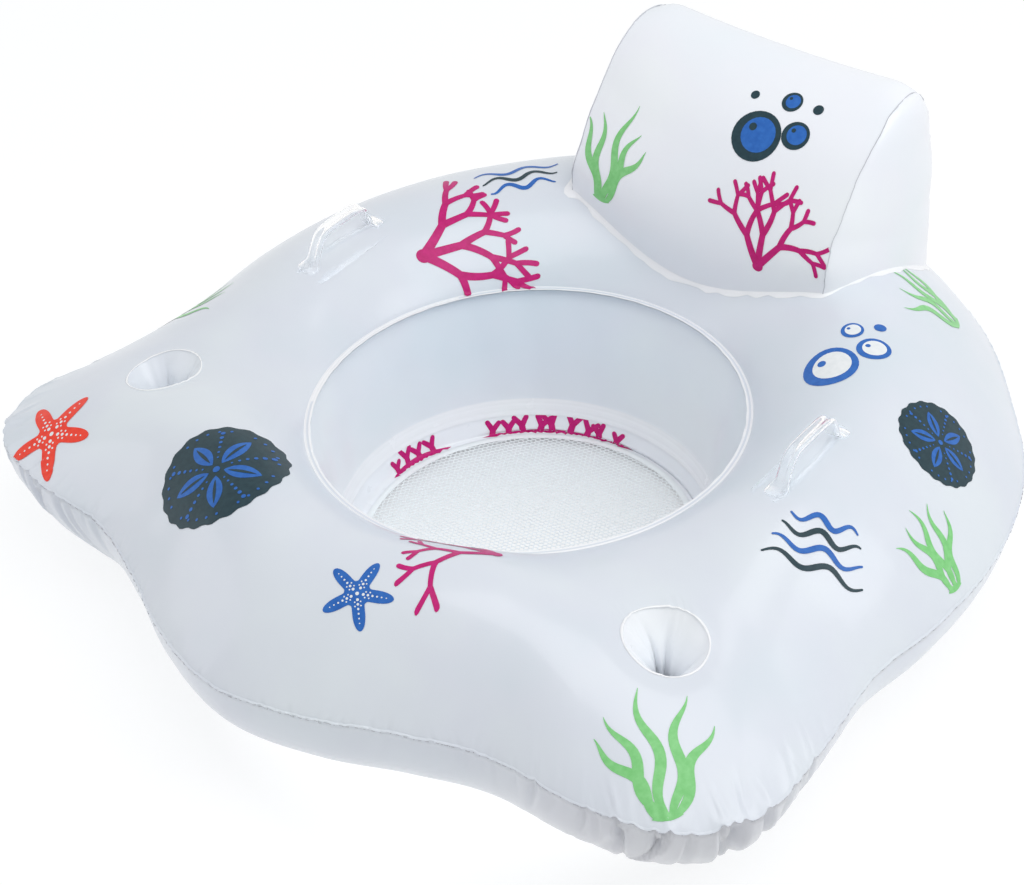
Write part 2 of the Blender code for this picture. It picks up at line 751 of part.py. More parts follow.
def valve(prefix, skin, origin, axis, carrier, surface, folder, cutters):
    """A push-in valve: base welded in the sheet, sliding stem, hinged plug and check flap."""
    axis = Vector((0, axis.y, axis.z)).normalized()
    side = Vector((1, 0, 0))
    other = axis.cross(side)
    frame = Matrix((side, other, axis)).transposed().to_4x4()
    frame.translation = origin
    holder = bpy.data.objects.new(prefix + "_axis", None)
    holder.empty_display_size = 0.02
    holder.matrix_world = frame
    folder.objects.link(holder)

    base_radius = BOSS_RADIUS + BASE_WELD
    weld_top = -skin.depth_under(origin, axis, side, base_radius) - SHEET - LAY
    base_low = weld_top - BASE_THICK
    hole = STEM_RADIUS + STEM_FIT
    turned(prefix + "_base", [(hole, BOSS_RISE), (BOSS_RADIUS, BOSS_RISE), (BOSS_RADIUS, weld_top),
                              (base_radius, weld_top), (base_radius, base_low), (hole, base_low)],
           surface, folder, holder, closed=True)
    seat = round_cutter(prefix + "_hole", BOSS_RADIUS + GAP, 0.03, frame, cutters, VALVE_SIDES * 2)
    cut(carrier, seat)

    stem_top = STEM_TRAVEL + STEM_LEFT
    stop_top = base_low - STEM_FIT
    stop_low = stop_top - STEM_STOP_THICK
    stop = STEM_RADIUS + STEM_STOP
    bore_step = stem_top - SHANK_LONG - SHANK_FIT
    stem = turned(prefix + "_stem",
                  [(BORE_TOP, stem_top), (STEM_RADIUS, stem_top), (STEM_RADIUS, stop_top),
                   (stop, stop_top), (stop, stop_low), (BORE_LOW, stop_low), (BORE_LOW, bore_step)],
                  surface, folder, holder, closed=True)
    reach = STEM_RADIUS + TETHER_OUT
    ear = block(prefix + "_ear", (STEM_RADIUS - 0.0008, -TETHER_WIDE / 2, stem_top - 0.0018),
                (reach + TETHER_THICK, TETHER_WIDE / 2, stem_top - PLUG_SEAT), cutters, holder)
    join(stem, ear)
    plug_and_tether(prefix, stem_top + PLUG_SEAT, reach, surface, folder, cutters, holder)

    flap_radius = BORE_LOW + FLAP_LAP
    flap_top = stop_low - GAP
    turned(prefix + "_flap", [(0, flap_top), (flap_radius, flap_top),
                              (flap_radius, flap_top - FLAP_THICK), (0, flap_top - FLAP_THICK)],
           surface, folder, holder, pivot=(-flap_radius, 0, flap_top))


def build():
    clear_scene()
    folder = new_collection(COLLECTION)
    cutters = new_collection(COLLECTION + "_cutters")
    vinyl = material("vinyl", 0.22)
    printed = material("vinyl_printed", 0.25)
    net_white = material("net_white", 0.55)
    clear = material("clear_vinyl", 0.12)
    valve_vinyl = material("valve_vinyl", 0.30)

    top = top_sheet(vinyl, folder)
    ring = Skin(top)
    bottom_sheet(vinyl, folder)
    seat_wall(vinyl, folder)
    seat_skirt(printed, folder)
    seat_net(net_white, folder)
    space = ring_cutter(cutters)
    for side in (-1, 1):
        cup_well(side, ring, top, vinyl, folder, cutters)
        grip_patch(side, top, clear, folder)
        grip(side, ring, clear, folder)
        rest_end(side, ring, space, vinyl, folder)
    cover = rest_cover(ring, space, vinyl, folder)

    spot, normal = ring.hit(0.0, SEAT_Y + outline(180) - RING_VALVE_IN)
    valve("ring_valve", ring, spot, normal, top, valve_vinyl, folder, cutters)
    back = Skin(cover)
    start = Vector((0, SEAT_Y + REST_FRONT + 2 * REST_PROFILE[-1][0], RIM_Z + REST_VALVE_Z))
    spot, normal, _, _ = back.tree.ray_cast(start, Vector((0, -1, 0)))
    valve("rest_valve", back, spot, normal, cover, valve_vinyl, folder, cutters)


build()
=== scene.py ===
"""Looks of an inflatable pool sofa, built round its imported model. Metres, in the part's frame: +Z up,
the sitter faces -Y, and angles around the ring are in degrees from the front (-Y) towards +X."""

import random
from math import atan2, copysign, cos, degrees, exp, hypot, pi, radians, sin, sqrt

import bpy
import numpy as np
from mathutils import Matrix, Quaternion, Vector, geometry
from mathutils.bvhtree import BVHTree
from numpy.linalg import norm

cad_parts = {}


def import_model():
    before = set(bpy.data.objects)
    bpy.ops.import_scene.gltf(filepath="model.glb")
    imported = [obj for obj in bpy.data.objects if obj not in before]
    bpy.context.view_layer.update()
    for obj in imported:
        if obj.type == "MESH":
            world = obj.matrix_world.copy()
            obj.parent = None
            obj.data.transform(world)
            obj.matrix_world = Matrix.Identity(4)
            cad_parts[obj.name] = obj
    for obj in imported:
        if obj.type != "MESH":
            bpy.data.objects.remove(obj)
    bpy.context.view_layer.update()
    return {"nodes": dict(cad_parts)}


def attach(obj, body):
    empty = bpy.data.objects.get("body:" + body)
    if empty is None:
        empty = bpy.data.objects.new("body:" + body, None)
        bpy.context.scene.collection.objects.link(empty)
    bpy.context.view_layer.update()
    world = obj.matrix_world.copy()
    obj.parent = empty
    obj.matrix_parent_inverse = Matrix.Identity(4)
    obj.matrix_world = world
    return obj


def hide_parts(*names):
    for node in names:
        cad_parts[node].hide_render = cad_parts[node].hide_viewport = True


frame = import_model()
chance = random.Random(7)

# Sizes of the CAD model, repeated here
SHEET = 0.0004
GAP = 0.0003
RIM_X, RIM_Y, RIM_Z, RIM_WELD = 0.23, 0.2485, 0.18, 0.007
FOOT_X, FOOT_Y, FOOT_Z, FOOT_WELD = 0.205, 0.212, 0.045, 0.02
SKIRT_X, SKIRT_Y, SKIRT_Z, SKIRT_FLANGE = 0.1895, 0.2025, 0.0072, 0.007
SEAM_Z = 0.125
OUTLINE = (
    (0, 0.473), (12, 0.46), (24, 0.447), (36, 0.466), (45, 0.526), (52, 0.568), (60, 0.57), (70, 0.522),
    (82, 0.479), (95, 0.484), (110, 0.503), (125, 0.524), (140, 0.542), (155, 0.578), (180, 0.621))
CROWN = ((0, 0.067), (30, 0.071), (60, 0.043), (90, 0.077), (120, 0.091), (150, 0.105), (180, 0.102))
SEAT_Y = (OUTLINE[0][1] - OUTLINE[-1][1]) / 2
CUP_X, CUP_Y, CUP_MOUTH, CUP_BASE, CUP_DEPTH = 0.336, SEAT_Y - 0.211, 0.04, 0.036, 0.11
GRIP_X, GRIP_Y, GRIP_SPAN, GRIP_RISE, GRIP_LEG = 0.3153, SEAT_Y + 0.0468, 0.1025, 0.031, 0.02225
REST_HALF, REST_Y, REST_BULGE = 0.1705, SEAT_Y + 0.287, 0.029
REST_PROFILE = (
    (0, 0.074), (0.0035, 0.112), (0.031, 0.166), (0.07, 0.218), (0.117, 0.254), (0.156, 0.262),
    (0.177, 0.241), (0.196, 0.196), (0.213, 0.128), (0.222, 0.07), (0.225, 0.044))
REST_RIDGE = 5
SKIRT_LENGTH = hypot(FOOT_X - SKIRT_X, FOOT_Z - SKIRT_Z)
# How far the skirt and the belly lie behind the wall
SKIRT_BEHIND, BELLY_BEHIND = SHEET + GAP, 3 * SHEET + 2 * GAP
VALVE_HOLE = 0.015
# Place and axis
RING_VALVE = (0, 0.492, 0.181535), (0, 0.617589, 0.786501)
REST_VALVE = (0, 0.437955, 0.298), (0, 0.996787, 0.0801)

# The belly lies on the floor between these parts of the way from the foot to the seam
FLAT_FROM, FLAT_TO, BELLY_BEND = 0.2, 0.38, 2.2
# Within this distance of the seam the sheets move with it
NEAR_SEAM = 0.008
# How far the air presses the cup sleeves inwards
CUP_SWELL = 0.0285

CAMERA_AZIMUTH = 39.85
ROUND = 1440
ANGLES = np.arange(ROUND) * 360.0 / ROUND
UP = np.array((0.0, 0.0, 1.0))
SIDES = {-1: "left", 1: "right"}


# Curves

def apart(a, middle, turn=360.0):
    """How far a is from the middle, the shorter way round."""
    return np.mod(a - middle + turn / 2, turn) - turn / 2


def around(table, a):
    """Values of the smooth curve through (angle, value) rows, level at both ends and alike on both sides."""
    x, y = np.array(table, float).T
    run, rise = np.diff(x), np.diff(y)
    steep = rise / run
    slope = np.zeros(len(x))
    slope[1:-1] = (steep[:-1] * run[1:] + steep[1:] * run[:-1]) / (run[:-1] + run[1:])
    at = np.abs(apart(a, 0.0))
    i = np.clip(np.searchsorted(x, at) - 1, 0, len(x) - 2)
    t = (at - x[i]) / run[i]
    return (y[i] + rise[i] * (3 - 2 * t) * t * t
            + run[i] * t * (1 - t) * (slope[i] * (1 - t) - slope[i + 1] * t))


def hump(a, middle, width):
    return np.exp(-(apart(a, middle) / width) ** 2)


def outline(a):
    """Distance of the outer seam from the seat's middle; the left lobe sits a little nearer."""
    return around(OUTLINE, a) - 0.01 * hump(a, 291, 11)


def oval(a, half_x, half_y):
    t = np.radians(a)
    return 1 / np.hypot(np.sin(t) / half_x, np.cos(t) / half_y)


def ring_point(a, radius, z):
    t = np.radians(a)
    return np.stack([radius * np.sin(t), SEAT_Y - radius * np.cos(t), z + 0 * radius], axis=-1)


OUT = ring_point(ANGLES, np.ones(ROUND), 0.0) - ring_point(ANGLES, np.zeros(ROUND), 0.0)
RIM = oval(ANGLES, RIM_X, RIM_Y)
FOOT = oval(ANGLES, FOOT_X, FOOT_Y)
SKIRT_EDGE = oval(ANGLES, SKIRT_X, SKIRT_Y)
EDGE = outline(ANGLES)
DOWN = Vector((SKIRT_X - FOOT_X, SKIRT_Z - FOOT_Z)).normalized()


def wander(a, seed, waves, size):
    """A smooth irregular wave round the ring."""
    dice = random.Random(seed)
    total = sum(np.sin(np.radians(a) * dice.randint(*waves) + dice.uniform(0, 6.28)) * dice.uniform(0.5, 1)
                for _ in range(5))
    return total * size / 2.2


def turns(count):
    """Angles that share out a whole turn."""
    return [2 * pi * k / count for k in range(count)]


def eased(count):
    """Numbers from 0 to 1, closer together at both ends."""
    return [(1 - cos(pi * k / count)) / 2 for k in range(count + 1)]


def ring_value(values, part):
    """The value at a part of the way round a ring of values."""
    return np.interp(part * len(values), range(len(values) + 1), values + values[:1])


def top_rows(parts):
    crest = around(CROWN, ANGLES)
    rows = []
    for s in parts:
        arch = sin(pi * s ** 0.93) ** 0.87
        z = RIM_Z + (SEAM_Z + GAP / 2 + SHEET - RIM_Z) * s + crest * arch
        rows.append(ring_point(ANGLES, RIM + (EDGE - RIM) * s, z))
    return rows


def foot_point(a, below, behind):
    """A point of the weld between wall and skirt: its distances below the wall's foot and behind it."""
    shift = DOWN * below + Vector((-DOWN.y, DOWN.x)) * behind
    return ring_point(a, oval(a, FOOT_X, FOOT_Y) + shift.x, FOOT_Z + shift.y)


def belly_rows(parts):
    inner = FOOT - DOWN.y * BELLY_BEHIND
    rows = []
    for q in parts:
        if q < FLAT_FROM:
            z = (FOOT_Z + DOWN.x * BELLY_BEHIND) * (1 - q / FLAT_FROM) ** 1.6
        elif q <= FLAT_TO:
            z = 0.0
        else:
            t = (q - FLAT_TO) / (1 - FLAT_TO)
            z = (SEAM_Z - GAP / 2 - SHEET) * (1 - max(1 - t ** BELLY_BEND, 0.0) ** (1 / BELLY_BEND))
        rows.append(ring_point(ANGLES, inner + (EDGE - inner) * q, z))
    return rows


# Meshes

def show(name, data):
    item = bpy.data.objects.new(name, data)
    bpy.context.scene.collection.objects.link(item)
    return item


def piece(name, verts, faces, materials, node=None, slot="vinyl", sharp=None):
    """A smooth piece on the float, with the CAD node that it replaces and hides; its slot is not used."""
    data = bpy.data.meshes.new(name)
    data.from_pydata([tuple(v) for v in verts], [], [tuple(f) for f in faces])
    data.validate()
    for material in materials if isinstance(materials, list) else [materials]:
        data.materials.append(material)
    data.shade_smooth()
    if sharp:
        data.set_sharp_from_angle(angle=radians(sharp))
    item = show(name, data)
    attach(item, "float")
    if node:
        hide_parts(node)
    return item


def grid(rows, closed=True, flip=False, ring=False):
    """Vertices and quads through rows of points, closed or not; a ring joins the last row to the first."""
    stack = np.array(rows, float)
    count_rows, count = stack.shape[:2]
    base = np.arange(count_rows if ring else count_rows - 1)[:, None] * count
    over = (base + count) % (count_rows * count)
    i = np.arange(count if closed else count - 1)[None, :]
    j = (i + 1) % count
    quads = np.stack([base + i, over + i, over + j, base + j], axis=-1).reshape(-1, 4)
    if flip:
        quads = quads[:, ::-1]
    return stack.reshape(-1, 3), quads


def joined(parts):
    """One mesh's vertices and faces out of several."""
    verts, faces, count = [], [], 0
    for more, quads in parts:
        verts.append(more)
        faces.append(quads + count)
        count += len(more)
    return np.concatenate(verts), np.concatenate(faces)


def cut_hole(verts, faces, centre, axis, radius, reach=0.09):
    """Takes out the faces near an axis and its centre, and draws the edge of the hole to a circle."""
    rel = verts - np.array(centre)
    axis = np.array(axis, float)
    flat = rel - (rel @ axis)[:, None] * axis
    far = norm(flat, axis=1)
    inside = (far < radius) & (np.abs(rel @ axis) < reach)
    gone = inside[faces].any(axis=1)
    keep = faces[~gone]
    edge = np.intersect1d(faces[gone], keep)
    verts = verts.copy()
    verts[edge] -= flat[edge] * (1 - radius / far[edge])[:, None]
    used, keep = np.unique(keep, return_inverse=True)
    return verts[used], keep.reshape(-1, 4)


class Skin:
    """Places on a finished sheet."""

    def __init__(self, item):
        verts = [v.co for v in item.data.vertices]
        faces = [tuple(p.vertices) for p in item.data.polygons]
        self.tree = BVHTree.FromPolygons(verts, faces)

    def over(self, x, y, lift=0.0):
        spot, normal = self.cast((x, y, 1), (0, 0, -1))
        if spot is None:
            spot, normal = self.tree.find_nearest(Vector((x, y, 0.2)))[:2]
        return spot + normal * lift

    def cast(self, start, way):
        return self.tree.ray_cast(Vector(start), Vector(way).normalized())[:2]


# Materials

class Look:
    """The nodes of a material or world."""

    def __init__(self, owner):
        owner.use_nodes = True
        self.owner = owner
        self.tree = owner.node_tree
        self.shader = self.tree.nodes.get("Principled BSDF") or self.tree.nodes["Background"]

    def fill(self, node, inputs):
        """Links each input to an output of another node, or gives it a number or colour."""
        for key, value in inputs.items():
            if isinstance(value, bpy.types.NodeSocket):
                self.tree.links.new(value, node.inputs[key])
            else:
                node.inputs[key].default_value = value

    def add(self, kind, output, inputs, **settings):
        """Makes a node and returns one of its outputs."""
        node = self.tree.nodes.new("ShaderNode" + kind)
        for key, value in settings.items():
            setattr(node, key, value)
        self.fill(node, inputs)
        return node.outputs[output]

    def set(self, **inputs):
        """Fills inputs of the shader."""
        self.fill(self.shader, {key.replace("_", " "): value for key, value in inputs.items()})

    def maths(self, operation, first, second):
        return self.add("Math", 0, {0: first, 1: second}, operation=operation)

    def noise(self, scale, detail=3.0):
        place = self.add("TexCoord", "Object", {})
        return self.add("TexNoise", "Fac", {"Vector": place, "Scale": scale, "Detail": detail})

    def ramp(self, value, stops):
        colour = self.add("ValToRGB", "Color", {"Fac": value})
        bar = colour.node.color_ramp
        while len(bar.elements) < len(stops):
            bar.elements.new(0.5)
        for element, (at, tint) in zip(bar.elements, stops):
            element.position = at
            element.color = (*tint, 1.0)
        return colour

    def between(self, value, low, high, start=0.0, end=1.0):
        """A number that goes from low to high as the value goes from start to end."""
        ends = {"From Min": start, "From Max": end, "To Min": low, "To Max": high}
        return self.add("MapRange", "Result", {"Value": value, **ends})

    def by_distance(self, centre, near, far, low, high):
        """A number that goes from low near a point to high far from it."""
        place = self.add("TexCoord", "Object", {})
        away = self.add("VectorMath", "Value", {0: place, 1: centre}, operation="DISTANCE")
        return self.between(away, low, high, near, far)

    def tone(self, dark, light, scale, detail=3.0):
        self.set(Base_Color=self.ramp(self.noise(scale, detail), [(0.3, dark), (0.7, light)]))

    def gloss(self, low, high, scale, detail=3.0):
        self.set(Roughness=self.between(self.noise(scale, detail), low, high))

    def bump(self, distance, scale, detail=3.0, strength=1.0, **under):
        under.update(Height=self.noise(scale, detail), Distance=distance, Strength=strength)
        normal = self.add("Bump", "Normal", under)
        self.set(Normal=normal)
        return normal

    def cover(self, share, over):
        """Mixes a share of another shader over this one."""
        mixed = self.add("MixShader", 0, {0: share, 1: self.shader.outputs[0], 2: over})
        self.fill(self.tree.nodes["Material Output"], {"Surface": mixed})


def surface(name, roughness, coat=0.0, tone=None, gloss=None, bump=None, **numbers):
    """A new material's look; tone, gloss and bump are what those methods take."""
    look = Look(bpy.data.materials.new(name))
    look.set(Roughness=roughness, Coat_Weight=coat, **numbers)
    for method, given in ((look.tone, tone), (look.gloss, gloss), (look.bump, bump)):
        if given:
            method(*given)
    return look


def film(name, dark, light, roughness=(0.27, 0.36), coat=0.35, waves=0.0006, shades=()):
    """Pearly vinyl: cloudy tone with a lilac tinge, which is painted pearly sheen laid at random, slightly
    uneven gloss, faint grain and soft waves.

    A shade is painted light or shade: a point, the distances from it at which a tint is full and gone, and
    the tint."""
    look = surface("vinyl_" + name, 0.3, coat, gloss=(*roughness, 38.0, 4.0), Coat_Roughness=0.12)
    # The lilac stop of the tone is painted pearly sheen, spread at random by the noise.
    lilac = tuple((a + b) / 2 + tinge for a, b, tinge in zip(dark, light, (0.006, -0.014, 0.002)))
    tone = look.ramp(look.noise(5.0), [(0.32, dark), (0.5, lilac), (0.68, light)])
    # Each shade multiplies the tone near its point: painted shade where the tint is darker, painted light
    # where it is lighter.
    for *where, tint in shades:
        mixed = {"Fac": look.by_distance(*where, 1.0, 0.0), "Color1": tone, "Color2": (*tint, 1.0)}
        tone = look.add("MixRGB", "Color", mixed, blend_type="MULTIPLY")
    look.set(Base_Color=tone)
    look.bump(waves, 22.0, 1.0, 0.6, Normal=look.bump(0.00005, 900.0, 2.0))
    return look.owner


def ink(name, dark, light):
    """Print under the film's gloss, with the faint unevenness of screen ink."""
    return surface("print_" + name, 0.3, 0.08, (dark, light, 160.0, 4.0), (0.27, 0.36, 38.0, 4.0),
                   (0.0006, 22.0, 1.0, 0.6), Coat_Roughness=0.12, Specular_IOR_Level=0.22).owner


def clear():
    """Clear moulded vinyl with flow marks; light passes it on its way to the film below."""
    look = surface("clear_vinyl", 0.07, 0.3, ((0.97, 0.985, 1), (1, 1, 1), 60.0), (0.03, 0.14, 90.0),
                   (0.0005, 120.0, 1.0, 0.5), Coat_Roughness=0.05, Transmission_Weight=0.97, IOR=1.25)
    share = look.maths("MULTIPLY", look.add("LightPath", "Is Shadow Ray", {}), 0.96)
    look.cover(share, look.add("BsdfTransparent", 0, {}))
    return look.owner


VINYL = film("film", (0.687, 0.758, 0.826), (0.755, 0.812, 0.865))
# The belly is darker and warmer under the near front lobe: painted shade.
BELLY = film("belly", (0.7, 0.765, 0.835), (0.76, 0.82, 0.885),
             shades=[((0.467, -0.401, 0.03), 0.08, 0.26, (0.9, 0.865, 0.84))])
# The seat wall is lighter towards its foot, painted light, and darker towards its far side, painted shade.
WALL = film("wall", (0.84, 0.915, 0.965), (0.9, 0.955, 0.985), (0.28, 0.3), 0.15, 0.0002,
            [((0, SEAT_Y, -0.1), 0.25, 0.31, (1.06, 1.03, 1.01)),
             ((-0.147, SEAT_Y + 0.176, 0.14), 0.06, 0.3, (0.905, 0.93, 0.965))])
# The cup sleeves and floors are almost white, painted light for the light that the film lets into the wells,
# and darker in the left cup, painted shade.
SLEEVE = film("sleeve", (0.9, 0.95, 0.99), (0.93, 0.97, 0.998), (0.26, 0.3), 0.3, 0.0002,
              [((-CUP_X, CUP_Y, 0.18), 0.1, 0.2, (0.885, 0.9, 0.92))])
REST = film("rest", (0.86, 0.915, 0.97), (0.91, 0.95, 0.985))
SKIRT = film("skirt", (0.885, 0.935, 0.975), (0.93, 0.965, 0.99), (0.26, 0.3), 0.3, 0.0002)
WELD = film("weld", (0.92, 0.955, 0.985), (0.95, 0.98, 0.995), (0.22, 0.3), 0.4)
SEAM = film("seam", (0.48, 0.51, 0.55), (0.66, 0.69, 0.73), (0.3, 0.4), 0.2)
TICK = film("tick", (0.37, 0.4, 0.44), (0.52, 0.55, 0.59), (0.3, 0.4), 0.2)
CLEAR = clear()
DARK = ink("dark", (0.01, 0.036, 0.05), (0.018, 0.052, 0.068))
BLUE = ink("blue", (0.018, 0.12, 0.46), (0.03, 0.16, 0.54))
MAGENTA = ink("magenta", (0.5, 0.004, 0.15), (0.6, 0.01, 0.2))
GREEN = ink("green", (0.2, 0.6, 0.2), (0.27, 0.68, 0.27))
RED = ink("red", (0.86, 0.035, 0.014), (0.95, 0.055, 0.022))
PALE = ink("pale", (0.8, 0.84, 0.86), (0.87, 0.9, 0.92))
NET = surface("net_white", 0.55, 0.1, ((0.91, 0.96, 0.99), (0.94, 0.98, 0.998), 300.0),
              bump=(0.0001, 1500.0)).owner
VALVE = surface("valve_vinyl", 0.35, 0.2, ((0.8, 0.83, 0.86), (0.9, 0.92, 0.93), 80.0),
                (0.28, 0.42, 150.0), (0.00008, 700.0)).owner


# Ring

def lobes_at(a):
    """About 1 at the tips of the front lobes, and less away from them."""
    return hump(a, 55, 18) + hump(a, 305, 18)


def creases():
    """Creases round the outer seam: (angle, half width, depth, length, slant)."""
    made = []
    a = 0.0
    while a < 360:
        lobe = min(lobes_at(a), 1.0)
        depth = chance.uniform(0.25, 1.0) * (0.0008 + 0.0034 * lobe + 0.0006 * hump(a, 0, 45))
        length = chance.uniform(0.6, 1.5) * (0.007 + 0.013 * lobe)
        width = chance.uniform(0.0016, 0.0034) * (1 + 0.5 * lobe)
        made.append((a, width, depth, length, chance.uniform(-0.4, 0.4)))
        a += chance.uniform(0.8, 3.4) * (1 - 0.15 * lobe)
    return made


CREASES = creases()


def creased(rows, parts, start, creases, grow=None):
    """Moves a sheet's rows up and down with its wandering seam, from the part start on, and creases them.

    Each crease starts at the seam, straight inwards so that both sheets meet there, and dies out
    along the sheet. With grow, it first deepens by that factor."""
    wave = wander(ANGLES, 3, (28, 90), 0.0007)
    for angle, _, depth, _, _ in CREASES:
        wave = wave + 1.7 * depth * lobes_at(angle) * np.exp(-np.abs(apart(ANGLES, angle)) / 0.6)
    stack = np.array(rows)
    for row, part in zip(stack, parts):
        row[:, 2] += wave * max(0, (part - start) / (1 - start)) ** 2

    steps = norm(np.diff(stack, axis=0), axis=-1)
    distance = np.append(np.zeros((1, ROUND)), np.cumsum(steps, axis=0), axis=0)
    if parts[0] < parts[-1]:
        distance = distance[-1] - distance
    near = np.exp(-distance / NEAR_SEAM)
    along = np.roll(stack, -1, axis=1) - np.roll(stack, 1, axis=1)
    normal = np.cross(np.gradient(stack, axis=0), along)
    normal /= np.maximum(norm(normal, axis=-1, keepdims=True), 1e-12)
    normal = normal * (1 - near[..., None]) + OUT * near[..., None]
    seam = ring_point(ANGLES, EDGE, SEAM_Z)
    steps = norm(np.roll(seam, -1, axis=0) - seam, axis=-1)
    place = np.append(0, np.cumsum(steps)[:-1])
    shift = 0 * distance
    for angle, width, depth, length, slant in creases:
        at = np.interp(angle % 360, ANGLES, place)
        away = apart(place - at, slant * distance, steps.sum())
        fade = np.exp(-(distance / length) ** 2)
        if grow:
            fade *= 1 + grow(angle) * (1 - near)
            width = width * (1 + 0.6 * (1 - near))
        shift -= depth * fade * (np.exp(-(away / width) ** 2) - 0.35 * np.exp(-(away / width / 2.4) ** 2))
    return stack + normal * shift[..., None]


def seam_line(sheet):
    """A fine bead between the seam's lips, twisted in some stretches, with dark ticks under it."""
    dice = random.Random(17)
    count = 2 * ROUND
    lip = np.array([tuple(v.co) for v in sheet.data.vertices[-ROUND:]])
    line = np.empty((count, 3))
    line[::2] = lip
    line[1::2] = (lip + np.roll(lip, -1, axis=0)) / 2
    out = np.repeat(OUT, 2, axis=0)
    twist = np.clip(0.35 + wander(np.repeat(ANGLES, 2), 23, (3, 14), 1.0), 0.0, 1.0)
    marks = np.arange(0, count, 3)
    knots = np.interp(np.arange(count), marks, [dice.uniform(-1, 1) for _ in marks])
    radius = (0.00055 * (1 + 0.8 * twist * knots))[:, None]
    line[:, 2] += 0.0008 * twist * np.roll(knots, 1) - 0.0003
    rows = [line + out * radius * cos(b) + UP * radius * sin(b) for b in turns(6) + [2 * pi]]
    piece("ring_seam_bead", *grid(rows, flip=True), VINYL)

    line += out * 0.0005 - UP * 0.0006
    ticks = []
    i = 0
    while i < count - 20:
        steps = dice.randint(1, 4)
        tick = [Vector(p) for p in line[i:i + steps + 1]]
        ticks.append(tube(tick, 0.00048 * dice.uniform(0.7, 1.2)))
        i += steps + dice.randint(1, 5 + int(12 * (1 - twist[i])))
    piece("ring_seam_line", *joined(ticks), TICK)


def top_sheet():
    parts = eased(54)
    stack = creased(top_rows(parts), parts, 0.85, CREASES)
    for side in SIDES:
        away = np.hypot(stack[..., 0] - side * CUP_X, stack[..., 1] - CUP_Y) - CUP_MOUTH
        stack[..., 2] -= 0.003 * np.exp(-(np.maximum(away, 0) / 0.016) ** 2)
    lips = [stack[-1] + OUT * reach + UP * drop
            for reach, drop in ((0.0006, -0.0001), (0.0012, -0.0004), (0.0016, -0.0009))]
    weld = []
    for k in range(12):
        inward = RIM_WELD * (1 - k / 12)
        groove = 0.00035 * sum(exp(-((inward - line) / 0.0007) ** 2) for line in (0.0055, 0.0018))
        wobble = wander(ANGLES, 11, (20, 60), 0.0004) * (k < 3)
        weld.append(ring_point(ANGLES, RIM - inward + wobble, RIM_Z + groove))
    verts, faces = grid(weld + list(stack) + lips)
    for side in SIDES:
        verts, faces = cut_hole(verts, faces, (side * CUP_X, CUP_Y, 0.22), UP, CUP_MOUTH + 0.0008)
    verts, faces = cut_hole(verts, faces, *RING_VALVE, VALVE_HOLE)
    item = piece("ring_top", verts, faces, [VINYL, WELD], "top_sheet")
    for face in item.data.polygons:
        x, y, z = face.center
        a = degrees(atan2(x, SEAT_Y - y))
        inward = oval(a, RIM_X, RIM_Y) - hypot(x, y - SEAT_Y)
        clear_middle = 0.0024 < inward < 0.0047 and not 240 < a % 360 < 306
        if z < RIM_Z + 0.002 and inward > -0.0001 and not clear_middle:
            face.material_index = 1
    return item


def bottom_sheet():
    parts = [FLAT_TO + (1 - FLAT_TO) * sin(pi / 2 * k / 26) ** (2 / BELLY_BEND) for k in range(26, -1, -1)]
    parts += [0.29, 0.2, 0.15, 0.1, 0.05, 0.0]
    longer = [(a, width, depth, length * (1.5 + 3.0 * lobes_at(a)), -slant)
              for a, width, depth, length, slant in CREASES]
    stack = creased(belly_rows(parts), parts, 0.9, longer, lambda a: 0.3 + 2.8 * lobes_at(a))
    lips = [stack[0] + OUT * reach + UP * rise
            for reach, rise in ((0.0016, -0.0007), (0.0012, -0.0002), (0.0006, 0.0))]
    weld = foot_point(ANGLES, FOOT_WELD, BELLY_BEHIND)
    piece("ring_belly", *grid(lips + list(stack) + [weld]), BELLY, "bottom_sheet")


def seat_wall():
    high = RIM_Z - 2 * SHEET - GAP
    weld = 14
    rows = [foot_point(ANGLES, FOOT_WELD * (1 - k / weld), 0.00025 * (k in (4, 10))) for k in range(weld)]
    for t in np.linspace(0, 1, 31):
        slack = wander(ANGLES, 5, (9, 26), 0.0011) * sin(pi * t)
        radius = FOOT + (RIM - FOOT) * t - 0.0035 * sin(pi * t) + slack
        rows.append(ring_point(ANGLES, radius, FOOT_Z + (high - FOOT_Z) * t))
    rows.append(ring_point(ANGLES, RIM - RIM_WELD, high))
    item = piece("seat_wall_film", *grid(rows), [WALL, WELD], "seat_wall", sharp=30)
    for face in item.data.polygons[:weld * ROUND]:
        face.material_index = 1


def seat_skirt():
    rows = [ring_point(ANGLES, SKIRT_EDGE - inward, SKIRT_Z + rise)
            for inward, rise in ((SKIRT_FLANGE, 0.0), (0.0015, 0.0), (0.0, 0.0008))]
    for k in range(12):
        rows.append(foot_point(ANGLES, SKIRT_LENGTH - 0.002 - (SKIRT_LENGTH - 0.006) * k / 11, SKIRT_BEHIND))
    return piece("seat_skirt_film", *grid(rows), SKIRT, "seat_skirt", "vinyl_printed")


